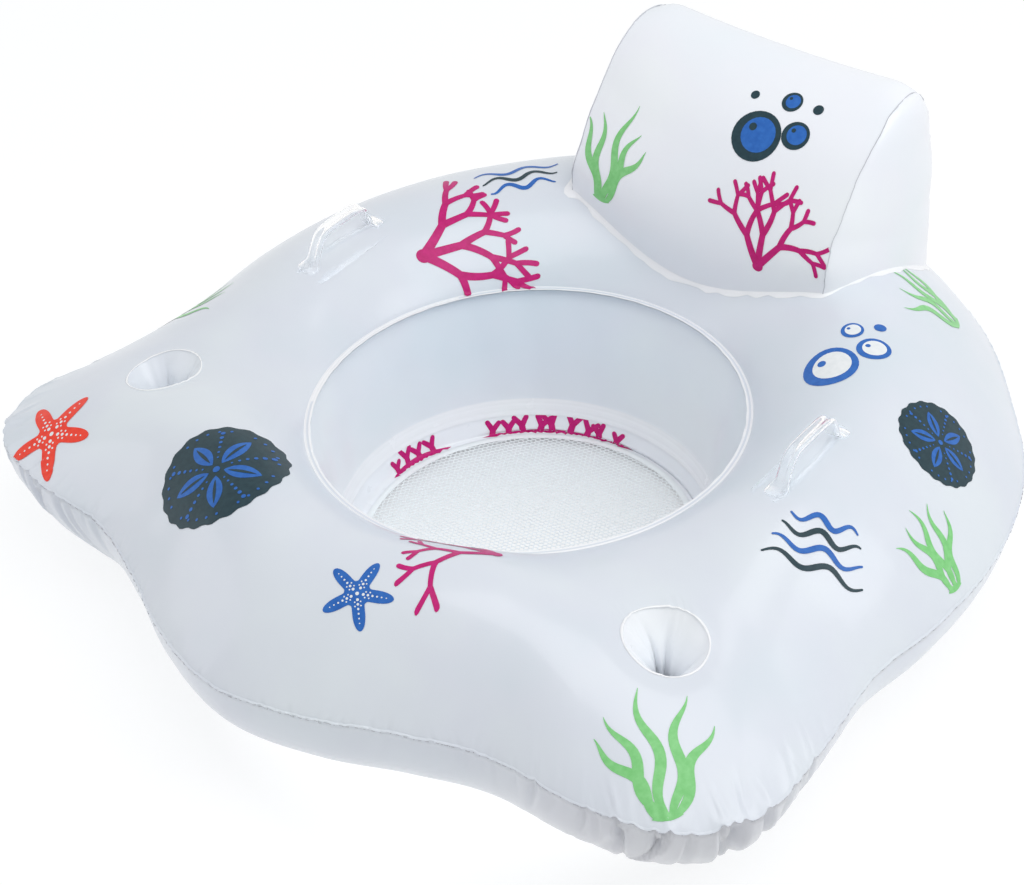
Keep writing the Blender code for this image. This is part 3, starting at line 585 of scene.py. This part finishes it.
def seat_net():
    """Hexagonal net: every cell is a hexagon with a rounder gap in it, its strands raised between gaps."""
    pitch, gap, sag = 0.0056, 0.00236, 0.0022
    half_x, half_y, level = SKIRT_X - 0.001, SKIRT_Y - 0.001, SKIRT_Z - SHEET - GAP
    loops = ((pitch / sqrt(3), 0.0), (gap * 1.12, 0.00008), (gap, 0.0006))
    parts = []
    for row in range(-45, 46):
        for column in range(-40, 41):
            x = (column + 0.5 * (row % 2)) * pitch
            y = row * pitch * sqrt(3) / 2
            if (x / (half_x - 0.009)) ** 2 + (y / (half_y - 0.009)) ** 2 > 1:
                continue
            z = level - sag * max(0.0, 1 - (x / half_x) ** 2 - (y / half_y) ** 2)
            parts.append(grid([[(x + r * sin(a), SEAT_Y + y + r * cos(a), z - drop) for a in turns(6)]
                               for r, drop in loops], flip=True))
    edge = ANGLES[::4]
    parts.append(grid([ring_point(edge, oval(edge, half_x, half_y) - inward, level - drop)
                       for inward, drop in ((0.0, 0.0), (0.006, 0.0), (0.0125, 0.0005))], flip=True))
    item = piece("seat_net_mesh", *joined(parts), NET, "seat_net", "net_white", 50)


# Cup wells

def cup_well(side, folds):
    """Sleeve that the air presses inwards between its folds, its floor, and the weld round its mouth.

    A fold is its angles at the mouth and at the floor, in degrees from the point away from the camera."""
    turn = turns(144)
    away = radians(CAMERA_AZIMUTH + 180)

    def spot(r, t):
        return side * CUP_X + r * sin(t), CUP_Y - r * cos(t)

    rim = np.array([ring_skin.over(*spot(CUP_MOUTH + 0.002, away + t)).z for t in turn])
    floor_z = rim.mean() - CUP_DEPTH
    dice = random.Random(20 + side)
    wobble = [dice.uniform(-1, 1) for _ in range(11)]

    def mouth(t):
        """Half width of the mouth, drawn into an irregular polygon by its weld."""
        return CUP_MOUTH + 0.0009 + 0.0012 * ring_value(wobble, t / (2 * pi))

    def lobes(t, down):
        """0 at the folds, 1 midway between two of them."""
        marks = sorted((f + (g - f) * down) % 360 for f, g in folds)
        marks = [marks[-1] - 360, *marks, marks[0] + 360]
        at = degrees(t) % 360
        i = np.searchsorted(marks, at, "right")
        return sin(pi * (at - marks[i - 1]) / (marks[i] - marks[i - 1])) ** 0.55

    rows = []
    for down in np.linspace(0, 1, 41):
        swell = CUP_SWELL * sin(pi * min(down * 1.02, 1)) ** 1.05
        row = []
        for top, t in zip(rim, turn):
            radius = mouth(t) + (CUP_BASE - mouth(t)) * min(down * 1.6, 1) ** 0.5 * down ** 0.5
            radius -= swell * (0.77 + 0.23 * lobes(t, down))
            radius += 0.0006 * sin(7 * t + 9 * down) * sin(pi * down)
            row.append((*spot(radius, away + t), top + (floor_z - top) * down))
        rows.append(row)
    rows.append([(*spot(CUP_BASE - 0.008, away + t), floor_z) for t in turn])
    name = SIDES[side]
    piece("cup_sleeve_film_" + name, *grid(rows, flip=True), SLEEVE, "cup_sleeve_" + name)

    rows = []
    for k in range(9):
        r = (CUP_BASE - 0.0004) * (1 - k / 8) + 0.0003
        z = floor_z - 0.0009 + 0.0016 * cos(pi / 2 * min(r / CUP_BASE, 1))
        rows.append([(*spot(r, t), z) for t in turn])
    piece("cup_floor_film_" + name, *grid(rows, flip=True), SLEEVE, "cup_floor_" + name)

    loops = []
    for t in turn:
        wide = 0.0012 + 0.0001 * side + 0.0003 * sin(5 * t + side)
        level = ring_skin.over(*spot(mouth(t) + 0.0015, away + t)).z
        loops.append([(*spot(mouth(t) + wide * cos(b), away + t), level + 0.0009 * sin(b) + 0.0001)
                      for b in turns(8)])
    piece("cup_weld_" + name, *grid(loops, ring=True), WELD)


# Backrest

def smooth_path(points, steps):
    given = np.array(points)
    ends = [2 * given[0] - given[1], *given, 2 * given[-1] - given[-2]]
    path = []
    for i in range(1, len(ends) - 2):
        a, b, c, d = ends[i - 1:i + 3]
        for k in range(steps):
            t = k / steps
            path.append(0.5 * (2 * b + (c - a) * t + (2 * a - 5 * b + 4 * c - d) * t * t
                               + (3 * b - a - 3 * c + d) * t ** 3))
    return np.array(path + [given[-1]])


REST_STEPS = 8
REST_PATH = smooth_path([(REST_Y + y, RIM_Z + z) for y, z in REST_PROFILE], REST_STEPS)
RIDGE = REST_RIDGE * REST_STEPS
REST_HALVES = REST_PATH[:RIDGE + 1], REST_PATH[RIDGE:]


def rest_line(part):
    """The backrest's profile at its ends: 0 is the front's foot, 0.5 the ridge and 1 the back's foot."""
    back = part > 0.5
    points = REST_HALVES[back]
    run = np.append(0, np.cumsum(norm(np.diff(points, axis=0), axis=1)))
    return [np.interp((part * 2 - back) * run[-1], run, axis) for axis in points.T]


def cover_point(across, part):
    """A point of the backrest's cover; across goes from -1 at the left end to 1 at the right."""
    middle = 1 - across * across
    x = across * REST_HALF
    y, z = rest_line(part)
    if part <= 0.5:
        climb = part * 2
        y -= middle * (0.012 * (1 - climb) + 0.02 * sin(pi * climb) ** 0.8)
        foot_y, foot_z = rest_line(0.0)
        foot_y -= middle * 0.012
    else:
        climb = 2 - part * 2
        y += middle * 0.012 * sin(pi * climb) ** 0.8
        foot_y, foot_z = rest_line(1.0)
    z -= middle * 0.009 * climb ** 3
    z += (ring_skin.over(x, foot_y).z - foot_z) * (1 - climb) ** 2
    corner = max(0.0, (abs(across) - 0.8) / 0.2) ** 2.2 * max(0.0, climb - 0.8) / 0.2
    z -= 0.01 * corner
    x -= copysign(0.006 * corner, across)
    edge = max(0.0, abs(across) - 0.7) ** 2 / 0.09
    x += copysign(0.0018 * edge * (sin(13 * part + 1.3) + 0.6 * sin(31 * part)), across)
    return Vector((x, y, z))


def bulge(t):
    """How far the domed ends stand out, at a part of the way from front to back."""
    return (4 * t * (1 - t)) ** 0.7


def backrest():
    columns, count = 56, 72
    across = [sin(pi / 2 * (2 * k / columns - 1)) for k in range(columns + 1)]
    rows = [[cover_point(u, k / count) for u in across] for k in range(count + 1)]
    down = Vector((0, 0, 0.004))
    rows = [[p - down for p in rows[0]]] + rows + [[p - down for p in rows[-1]]]
    verts, faces = cut_hole(*grid(rows, closed=False, flip=True), *REST_VALVE, VALVE_HOLE)
    return piece("rest_film", verts, faces, REST, "rest_cover")


def rest_end(side):
    """A domed end of the backrest, and the fine grey seam round it."""
    rows = []
    for climb in np.linspace(0, 1, 41):
        front, back = cover_point(side, climb / 2), cover_point(side, 1 - climb / 2)
        stand = side * REST_BULGE * (1 - climb) ** 0.55
        rows.append([front.lerp(back, t) + Vector((stand * bulge(t), 0, 0)) for t in eased(28)])
    foot = [Vector((p.x, p.y, ring_skin.over(p.x, p.y).z - 0.004)) for p in rows[0]]
    name = SIDES[side]
    piece("rest_end_film_" + name, *grid([foot] + rows, closed=False, flip=side > 0), REST,
          "rest_end_" + name)

    line = []
    for k in range(321):
        waver = 0.0002 * sin(0.83 * k + 2 * side) + 0.0004 * sin(0.29 * k)
        line.append(cover_point(side, k / 320) + Vector((side * 0.0004 + 0.6 * waver, waver, waver)))
    piece("rest_seam_" + name, *tube(line, 0.0006), SEAM)


def tube(line, radius):
    """Vertices and faces of a thin bead along a line."""
    loops = []
    for i, p in enumerate(line):
        run = (line[min(i + 1, len(line) - 1)] - line[max(i - 1, 0)]).normalized()
        side = run.cross(Vector((0, 0, 1)))
        side = side.normalized() if side.length > 1e-5 else Vector((1, 0, 0))
        up = side.cross(run)
        loops.append([p + side * radius * cos(b) + up * radius * sin(b) for b in turns(6)])
    verts, quads = grid(loops)
    return verts, quads[:, (0, 3, 2, 1)]


def rest_weld():
    """The irregular white weld along the backrest's foot."""
    def end(side, start, stop):
        return [Vector((side * (REST_HALF + REST_BULGE * bulge(t)), start.y + (stop.y - start.y) * t, 0))
                for t in np.linspace(0.0, 1.0, 60)[1:-1]]

    front = [cover_point(u, 0.0) for u in np.linspace(-1, 1, 120)]
    back = [cover_point(u, 1.0) for u in np.linspace(1, -1, 120)]
    loop = front + end(1, front[-1], back[0]) + back + end(-1, back[-1], front[0])
    count = len(loop)
    dice = random.Random(41)
    wide_at = [dice.uniform(0.002, 0.0068) for _ in range(80)]
    rows = [[] for _ in range(5)]
    for i, p in enumerate(loop):
        before, after = loop[i - 1], loop[(i + 1) % count]
        run = Vector((after.x - before.x, after.y - before.y, 0)).normalized()
        w = ring_value(wide_at, i / count) + 0.007 * exp(-(min(i, count - i) / 2.5) ** 2)
        section = (-0.0008, 0.0022), (0.0006, 0.0014), (0.4 * w, 0.0009), (0.85 * w, 0.0007), (w, 0.0001)
        for row, (reach, lift) in zip(rows, section):
            row.append(ring_skin.over(p.x + run.y * reach, p.y - run.x * reach, lift))
    piece("rest_weld", *grid(rows), WELD)


# Handles

def grip(side):
    """A clear handle: stations along it, each with its height, width, thickness and side ridges."""
    foot, bar = GRIP_SPAN / 2, GRIP_SPAN / 2 - GRIP_LEG
    half = [(foot + 0.01, 0, 0.012, 0.0012, 0), (foot + 0.0085, 0, 0.02, 0.0019, 0),
            (foot + 0.006, 0, 0.024, 0.0022, 0), (foot + 0.001, 0, 0.024, 0.0022, 0),
            (foot - 0.0025, 0, 0.0235, 0.0024, 0), (foot - 0.007, 0.0016, 0.018, 0.0044, 0.0005),
            (foot - 0.0092, 0.18 * GRIP_RISE, 0.0155, 0.0045, 0.0009),
            (foot - 0.0115, 0.36 * GRIP_RISE, 0.015, 0.0045, 0.0012)]
    climb = ((foot - 0.0145, 0.58), (bar + 0.0045, 0.78), (bar + 0.0012, 0.9), (bar - 0.0025, 0.965),
             (bar - 0.008, 0.99), (bar * 0.35, 1.0))
    half += [(at, share * GRIP_RISE, 0.015, 0.0045, 0.0016) for at, share in climb]
    stations = [(-at, *rest) for at, *rest in half] + half[::-1]
    loops = []
    for i, (at, height, wide, thick, ridge) in enumerate(stations):
        before, after = stations[max(i - 1, 0)], stations[min(i + 1, len(stations) - 1)]
        run = Vector((after[0] - before[0], after[1] - before[1])).normalized()
        if height == 0:
            run = Vector((1.0, 0.0))
        w, lip = wide / 2, wide * 0.31
        section = [(0, 0), (w / 2, 0), (w, 0.0004), (w * 1.01, thick * 0.5), (w * 0.97, thick + ridge * 0.6),
                   (lip, thick + ridge), (lip * 0.55, thick + ridge * 0.25), (0, thick)]
        section += [(-across, up) for across, up in section[-2:0:-1]]
        loop = []
        for across, up in section:
            x = side * GRIP_X + across
            y = GRIP_Y + at - run.y * up
            loop.append((x, y, ring_skin.over(x, y, 0.0011).z + height + run.x * up))
        loops.append(loop)
    verts, faces = grid(loops, flip=True)
    last = len(verts)
    caps = [range(len(section))[::-1], range(last - len(section), last)]
    name = SIDES[side]
    item = piece("grip_clear_" + name, verts, list(faces) + caps, CLEAR, "grip_" + name, "clear_vinyl")
    smooth = item.modifiers.new("smooth", "SUBSURF")
    smooth.levels = smooth.render_levels = 2


# Print

# How high a print lies over its sheet, and each of its layers over the one before
PRINT_LIFT, LAYER_LIFT = 0.0004, 0.00012
# How far apart the points of a print are, and those of one where the sheet is creased
STEP, FINE_STEP = 0.004, 0.0022
# A stamp faces along the sheet's mean normal at the first distance round it, and ends at the second
FACE_RADIUS, STAMP_REACH = 0.025, 0.16


def filled(loops, step):
    """Points and triangles of the union of closed loops in plan, with inner points a step apart."""
    points, faces = [], []
    for loop in loops:
        first = len(points)
        for (x0, y0), (x1, y1) in zip(loop, loop[1:] + loop[:1]):
            count = max(1, round(hypot(x1 - x0, y1 - y0) / step / 1.2))
            points += [Vector((x0 + (x1 - x0) * k / count, y0 + (y1 - y0) * k / count)) for k in range(count)]
        faces.append(list(range(first, len(points))))
    xs, ys = [p.x for p in points], [p.y for p in points]
    x = min(xs) + step / 2
    odd = False
    while x < max(xs):
        y = min(ys) + step * (0.5 if odd else 0.95)
        while y < max(ys):
            points.append(Vector((x, y)))
            y += step
        x += step * 0.87
        odd = not odd
    verts, _, tris, _, _, _ = geometry.delaunay_2d_cdt(points, [], faces, 1, 1e-7)
    flat = np.array([tuple(v) for v in verts])
    middle_x, middle_y = flat[np.array(tris)].mean(axis=1).T
    kept = np.zeros(len(tris), bool)
    for loop in loops:
        odd = np.zeros(len(tris), bool)
        for (x0, y0), (x1, y1) in zip(loop, loop[1:] + loop[:1]):
            if y0 != y1:
                crosses = (y0 > middle_y) != (y1 > middle_y)
                odd ^= crosses & (middle_x < x0 + (middle_y - y0) * (x1 - x0) / (y1 - y0))
        kept |= odd
    return verts, [t for t, k in zip(tris, kept) if k]


def lay(name, layers, place, step=STEP):
    """Lays flat shapes on a sheet: each layer is (loops, material), and later ones lie over earlier ones.

    place(x, y) gives the point of the sheet and its normal there, or None beyond the sheet."""
    verts, normals, faces, tints, materials = [], [], [], [], []
    for level, (loops, material) in enumerate(layers):
        if material not in materials:
            materials.append(material)
        flat, tris = filled(loops, step)
        places = {}
        for tri in tris:
            for i in tri:
                found = None if i in places else place(flat[i].x, flat[i].y)
                if found:
                    places[i] = len(verts)
                    verts.append(found[0] + found[1] * (PRINT_LIFT + LAYER_LIFT * level))
                    normals.append(found[1])
            if all(i in places for i in tri):
                face = [places[i] for i in tri]
                a, b, c = (verts[i] for i in face)
                if (b - a).cross(c - a).dot(normals[face[0]]) < 0:
                    face.reverse()
                faces.append(face)
                tints.append(materials.index(material))
    item = piece(name, verts, faces, materials, slot="vinyl_printed")
    for face, tint in zip(item.data.polygons, tints):
        face.material_index = tint


def stamp(name, layers, skin, start, way, heading, step=STEP):
    """Lays flat shapes on a sheet round the place that a ray meets, square to it there."""
    start, way, heading = Vector(start), Vector(way), Vector(heading)
    spot, _ = skin.cast(start, way)
    side, normal = way.orthogonal().normalized(), Vector((0, 0, 0))
    for k in range(8):
        at, n = skin.cast(Quaternion(way, k * pi / 4) @ side * FACE_RADIUS + start, way)
        if at is not None and (at - spot).length < 0.06:
            normal -= n * copysign(1.0, n.dot(way))
    normal.normalize()
    u = (heading - heading.dot(normal) * normal).normalized()
    v = normal.cross(u)

    def place(x, y):
        at, n = skin.cast(spot + u * x + v * y + normal * 0.05, -normal)
        if at is None or (at - spot).length > STAMP_REACH or abs(n.dot(normal)) < 0.05:
            return None
        return at, n * copysign(1.0, n.dot(normal))

    lay(name, layers, place, step)


def on_ring(name, layers, angle, part, heading, step=STEP):
    """Stamps a motif on the ring, at an angle and a part of the way from the rim to the seam."""
    radius = oval(angle, RIM_X, RIM_Y) * (1 - part) + outline(angle) * part
    start = ring_point(angle, radius, 0.6)
    way = radians(angle + heading)
    stamp(name, layers, ring_skin, start, (0, 0, -1), (sin(way), -cos(way), 0), step)


def on_strip(name, layers, angle):
    """Lays a motif on the strip round the net, bent round with it: y is 0 at the strip's inner edge."""
    def place(x, y):
        a = angle - degrees(x / SKIRT_X)
        down = SKIRT_LENGTH + SKIRT_FLANGE - 0.0003 - y
        if down > SKIRT_LENGTH:
            spot = ring_point(a, oval(a, SKIRT_X, SKIRT_Y) - (down - SKIRT_LENGTH), SKIRT_Z)
        else:
            spot = foot_point(a, down, SKIRT_BEHIND)
        t = radians(a)
        way = Vector((sin(t), -cos(t), -1)).normalized()
        at, n = strip_skin.cast(Vector(spot) - way * 0.02, way)
        return (at, n * -copysign(1.0, n.dot(way))) if at else None

    lay(name, layers, place)


def on_rest(name, layers, face, x, height):
    """Stamps a motif on the backrest, with face 1 for its front and -1 for its back."""
    start = (x, REST_Y + (-0.2 if face > 0 else 0.5), RIM_Z + height)
    stamp(name, layers, rest_skin, start, (0, face, 0), (face, 0, 0))


# Motifs, each a list of layers for lay

def polar(r, a, x=0.0, y=0.0):
    return x + r * cos(a), y + r * sin(a)


def disc(x, y, radius, points=28, wave=0.0, waves=0):
    return [polar(radius * (1 + wave * cos(waves * a)), a, x, y) for a in turns(points)]


def petal(angle, near, far, wide, x=0.0, y=0.0, count=14):
    """A pointed oval from one distance to another along an angle in degrees."""
    a = radians(angle)

    def edge(k, sign):
        r = near + (far - near) * k / count
        w = sign * wide * sin(pi * k / count) ** 0.8 if 0 < k < count else 0.0
        return x + r * cos(a) - w * sin(a), y + r * sin(a) + w * cos(a)

    return [edge(k, 1) for k in range(count + 1)] + [edge(k, -1) for k in range(count - 1, 0, -1)]


def strip(line, widths):
    """A band along a line, with round ends."""
    last = len(line) - 1

    def edge(i, width):
        (x, y), (x0, y0), (x1, y1) = line[i], line[max(i - 1, 0)], line[min(i + 1, last)]
        size = hypot(x1 - x0, y1 - y0)
        return x - (y1 - y0) / size * width, y + (x1 - x0) / size * width

    def cap(i, j):
        (x, y), (px, py) = line[i], line[j]
        out = atan2(y - py, x - px)
        return [polar(widths[i], out + b, x, y) for b in (pi / 4, 0, -pi / 4)]

    left = [edge(i, width) for i, width in enumerate(widths)]
    right = [edge(i, -width) for i, width in enumerate(widths)]
    return left + cap(-1, -2) + right[::-1] + cap(0, 1)


def starfish(radius, colour, turn=0.0):
    """A star with five round arms and pale dots down each."""
    loop = [polar(radius * (0.36 + 0.64 * ((1 + cos(5 * (a - turn))) / 2) ** 1.7), a) for a in turns(150)]
    spots = []
    for a in turns(5):
        dots = [(0.17 + 0.125 * k, 0.0, 0.04 - 0.0045 * k, 12) for k in range(6)]
        dots += [(0.24 + 0.11 * k, b * (0.33 - 0.1 * k), 0.022, 10) for b in (-1, 1) for k in range(2)]
        spots += [disc(*polar(radius * r, a + turn + off), radius * size, n) for r, off, size, n in dots]
    return [([loop], colour), (spots + [disc(0, 0, radius * 0.05, 14)], PALE)]


def sea_disc(radius, turn):
    """A round sea urchin's shell: dark, with five blue leaves, rows of blue dots and dark veins."""
    def leaves(near, far, wide):
        return [petal(72 * k + turn, radius * near, radius * far, radius * wide) for k in range(5)]

    dots = [(0.25 + 0.115 * i, radians(72 * k + turn + 36), 0.018 + 0.004 * i) for k in range(5)
            for i in range(6)]
    dots += [(0.87, a, 0.024) for k, a in enumerate(turns(30)) if k % 6 != 3]
    dots = [disc(*polar(radius * r, a), radius * size, 10) for r, a, size in dots]
    return [([disc(0, 0, radius, 96, 0.018, 20)], DARK), (leaves(0.13, 0.74, 0.135), BLUE),
            (dots + [disc(0, 0, radius * 0.06, 12)], BLUE), (leaves(0.2, 0.66, 0.028), DARK)]


def coral(size, seed):
    """A branching sprig of coral."""
    dice = random.Random(seed)
    bands = []

    def branch(x, y, angle, length, width, depth):
        line, count = [(x, y)], 7
        bend = dice.uniform(-0.45, 0.45)
        for k in range(count):
            angle += bend / count
            x, y = polar(length / count, angle, x, y)
            line.append((x, y))
        end = width * (0.8 if depth else 1.05)
        bands.append(strip(line, [width + (end - width) * k / count for k in range(count + 1)]))
        if depth:
            fork = dice.uniform(0.42, 0.62)
            for turn in (-fork, fork * dice.uniform(0.75, 1.1)):
                branch(x, y, angle + turn, length * dice.uniform(0.66, 0.82), width * 0.8, depth - 1)

    for lean in (-0.62, 0.05, 0.66):
        branch(0.0, 0.0, pi / 2 + lean, size * 0.34, size * 0.042, 3)
    bands.append(disc(0, 0, size * 0.062, 20))
    return [(bands, MAGENTA)]


def weed(size, blades, seed):
    """A tuft of wavy sea grass."""
    dice = random.Random(seed)
    bands = [petal(0, -size * 0.115, size * 0.115, size * 0.03)]
    steps = 26
    for k in range(blades):
        off = k - (blades - 1) / 2
        lean = off * 0.3 + dice.uniform(-0.05, 0.05)
        length = size * (1 - 0.1 * abs(off)) * dice.uniform(0.85, 1.05)
        x, y, angle = off * size * 0.035, 0.0, pi / 2 - lean * 0.6
        line, widths = [(x, y)], [size * 0.02]
        start = dice.uniform(0, 6.28)
        for i in range(steps):
            t = (i + 1) / steps
            turn = angle - lean * 0.5 * t + 0.42 * sin(start + 9.5 * t)
            x, y = polar(length / steps, turn, x, y)
            line.append((x, y))
            widths.append(size * (0.02 + 0.022 * sin(pi * t ** 0.8)) * (1 - 0.88 * t ** 5))
        bands.append(strip(line, widths))
    return [(bands, GREEN)]


def reef(length, height, seed):
    """A low bank of stubby coral."""
    dice = random.Random(seed)
    bands = [petal(0, -length / 2, length / 2, 0.0075, 0, 0.003)]
    x = -length / 2 + 0.012
    while x < length / 2 - 0.01:
        tall = height * dice.uniform(0.85, 1.1) * (0.65 + 0.35 * cos(pi * x / length))
        lean = dice.uniform(-0.25, 0.25)
        fork = (x + 0.5 * tall * sin(lean), 0.5 * tall * cos(lean))
        bands.append(strip([(x, 0.002), fork], [0.004, 0.0036]))
        for turn in (-0.62, dice.uniform(0.45, 0.65)):
            reach = tall * dice.uniform(0.38, 0.48)
            tip = (fork[0] + reach * sin(lean + turn), fork[1] + reach * cos(lean + turn))
            bands.append(strip([fork, tip], [0.0034, 0.0028]))
        x += dice.uniform(0.0165, 0.0205)
    return [(bands, MAGENTA)]


def bubbles(size, spots, colour, inside):
    """Round bubbles, the big ones with a glint; a spot is its place and radius in parts of the size."""
    spots = [(x * size, y * size, r * size) for x, y, r in spots]
    big = [spot for spot in spots if spot[2] > 0.09 * size]
    outer = [disc(x, y, r, 30) for x, y, r in spots]
    inner = [disc(x + r * 0.06, y + r * 0.06, r * 0.7, 26) for x, y, r in big]
    glints = [disc(x - r * 0.28, y + r * 0.28, r * 0.16, 12) for x, y, r in big]
    return [(outer, colour), (inner, inside), (glints, colour)]


def waves(size, count, first, second):
    """Short wavy bands, one over another."""
    layers = [[], []]
    for k in range(count):
        line, widths = [], []
        for t in np.linspace(0, 1, 37):
            wave = 0.055 * sin(4 * pi * t + k)
            line.append(((t - 0.5) * size * (1 - 0.12 * k), size * (0.16 * k + wave)))
            widths.append(size * 0.03 * (0.35 + 0.65 * sin(pi * t)))
        layers[k % 2].append(strip(line, widths))
    return [(layers[0], first), (layers[1], second)]


RING_SPOTS = ((0, 0, 0.3), (0.46, 0.2, 0.17), (0.28, 0.52, 0.12), (0.56, 0.56, 0.06))
REST_SPOTS = ((0, 0, 0.34), (0.5, 0.18, 0.19), (0.22, 0.58, 0.14), (0.6, 0.6, 0.07), (-0.3, 0.5, 0.06))

# Name, motif and place of each print
RING_PRINTS = (
    ("disc_a", sea_disc(0.066, 20), 337, 0.52, 40),
    ("disc_b", sea_disc(0.05, 50), 116, 0.7, 0),
    ("star_a", starfish(0.055, RED), 311, 0.86, 10, FINE_STEP),
    ("star_b", starfish(0.036, BLUE, 0.5), 14, 0.6, 0),
    ("coral_a", coral(0.14, 4), 246, 0.14, 180),
    ("coral_b", coral(0.105, 9), 33, 0.2, 165),
    ("weed_a", weed(0.125, 5, 3), 52, 0.97, 90, FINE_STEP),
    ("weed_b", weed(0.115, 5, 8), 146, 0.8, 60),
    ("weed_c", weed(0.11, 4, 5), 283, 0.93, 110),
    ("waves_a", waves(0.105, 4, DARK, BLUE), 83, 0.66, 30),
    ("waves_b", waves(0.1, 3, BLUE, DARK), 222, 0.45, 100),
    ("star_c", starfish(0.046, RED, 0.9), 172, 0.88, 30),
    ("waves_c", waves(0.1, 4, BLUE, DARK), 200, 0.8, 60),
    ("disc_c", sea_disc(0.048, 10), 232, 0.86, 0),
    ("weed_d", weed(0.105, 5, 13), 100, 0.97, 75),
    ("bubbles_a", bubbles(0.1, RING_SPOTS, BLUE, PALE), 128, 0.26, 0))
STRIP_PRINTS = (
    ("strip_a", reef(0.18, 0.034, 5), 209),
    ("strip_b", reef(0.09, 0.031, 14), 262),
    ("strip_c", reef(0.12, 0.032, 8), 128),
    ("strip_d", reef(0.15, 0.032, 3), 25))
REST_PRINTS = (
    ("rest_bubbles", bubbles(0.085, REST_SPOTS, DARK, BLUE), 1, 0.045, 0.205),
    ("rest_coral", coral(0.105, 12), 1, 0.095, 0.085),
    ("back_star", starfish(0.04, BLUE, 0.4), -1, -0.085, 0.15),
    ("back_coral", coral(0.1, 22), -1, 0.09, 0.08),
    ("back_waves", waves(0.085, 3, DARK, BLUE), -1, -0.08, 0.215),
    ("rest_weed", weed(0.12, 5, 21), 1, -0.125, 0.085))


# Scene

ring = top_sheet()
ring_skin = Skin(ring)
bottom_sheet()
seat_wall()
strip_skin = Skin(seat_skirt())
seat_net()
seam_line(ring)
cup_well(1, [(40, 4), (-7, -5), (95, 88), (150, 150), (205, 200), (260, 255)])
cup_well(-1, [(8, -4), (88, 66), (-60, -52), (140, 135), (190, 185), (240, 240)])
rest_skin = Skin(backrest())
for side in SIDES:
    rest_end(side)
rest_weld()
for side in SIDES:
    grip(side)
for put_on, rows in ((on_ring, RING_PRINTS), (on_strip, STRIP_PRINTS), (on_rest, REST_PRINTS)):
    for name, layers, *where in rows:
        put_on("print_" + name, layers, *where)

# CAD nodes that are shown as they are, in better materials
for node, item in frame["nodes"].items():
    if "_valve_" in node or "grip_patch_" in node:
        item.data.materials.clear()
        item.data.materials.append(VALVE if "_valve_" in node else CLEAR)


def look_at(item, target):
    way = Vector(target) - item.location
    item.rotation_euler = way.to_track_quat("-Z", "Y").to_euler()


def camera():
    data = bpy.data.cameras.new("camera")
    data.lens = 77.66
    data.sensor_width = 36
    item = show("camera", data)
    target, distance = Vector((0.0224, -0.1303, 0.18)), 2.2968
    a, e = radians(CAMERA_AZIMUTH), radians(36.85)
    item.location = target + Vector((sin(a) * cos(e), -cos(a) * cos(e), sin(e))) * distance
    look_at(item, target)
    bpy.context.scene.camera = item


def lamp(name, place, size, power):
    data = bpy.data.lights.new(name, "AREA")
    data.shape = "RECTANGLE"
    data.size, data.size_y = size
    data.energy = power
    item = show(name, data)
    item.location = place
    look_at(item, (0, 0, 0.1))


def seen(look):
    """1 for the camera's rays, and for those of gloss and clear pieces that no surface has scattered."""
    def path(output):
        return look.add("LightPath", output, {})

    either = look.maths("MAXIMUM", path("Is Glossy Ray"), path("Is Transmission Ray"))
    direct = look.maths("LESS_THAN", path("Diffuse Depth"), 0.5)
    return look.maths("MAXIMUM", look.maths("MULTIPLY", either, direct), path("Is Camera Ray"))


def floor():
    """Pale floor that the camera sees almost white, with the shade and the pool of light in the seat."""
    look = surface("studio_floor", 0.9, Specular_IOR_Level=0.0)
    seat = ((0, SEAT_Y, 0), FOOT_X, FOOT_X + 0.05)
    # The floor's colour is cloudy at random and darker inside the seat: painted shade.
    cloud_and_seat_shade = look.maths("ADD", look.noise(3.0), look.by_distance(*seat, 0.0, 1.0))
    shades = [(0.3, (0.8, 0.83, 0.87)), (0.7, (0.83, 0.86, 0.9)), (1.0, (0.96, 0.96, 0.96))]
    look.set(Base_Color=look.ramp(cloud_and_seat_shade, shades))
    glow = look.add("Emission", 0, {"Color": (0.98, 0.99, 1.0, 1.0), "Strength": 1.09})
    # The glow is weaker inside the seat, painted shade, and stronger in a pool under the net's near part,
    # painted light.
    pool = look.by_distance((0.1, SEAT_Y - 0.12, 0), 0.1, 0.35, 0.66, 0.0)
    share = look.maths("ADD", look.by_distance(*seat, 0.18, 0.78), pool)
    look.cover(look.maths("MULTIPLY", share, seen(look)), glow)
    data = bpy.data.meshes.new("studio_floor")
    data.from_pydata([(-8, -8, 0), (8, -8, 0), (8, 8, 0), (-8, 8, 0)], [], [(0, 1, 2, 3)])
    data.materials.append(look.owner)
    item = show("studio_floor", data)
    item.location.z = -0.0005


def world():
    look = Look(bpy.data.worlds.new("studio"))
    bpy.context.scene.world = look.owner
    look.set(Color=(1, 1, 1, 1), Strength=look.between(seen(look), 0.56, 1.0))


bpy.context.scene.view_settings.view_transform = "Standard"
camera()
floor()
world()
lamp("key", (2.1, 0.7, 1.9), (1.5, 1.5), 14.5)
lamp("top", (0.6, -0.1, 2.5), (2.0, 1.6), 18.5)
lamp("fill", (-1.9, -1.6, 0.9), (1.6, 1.2), 5.0)
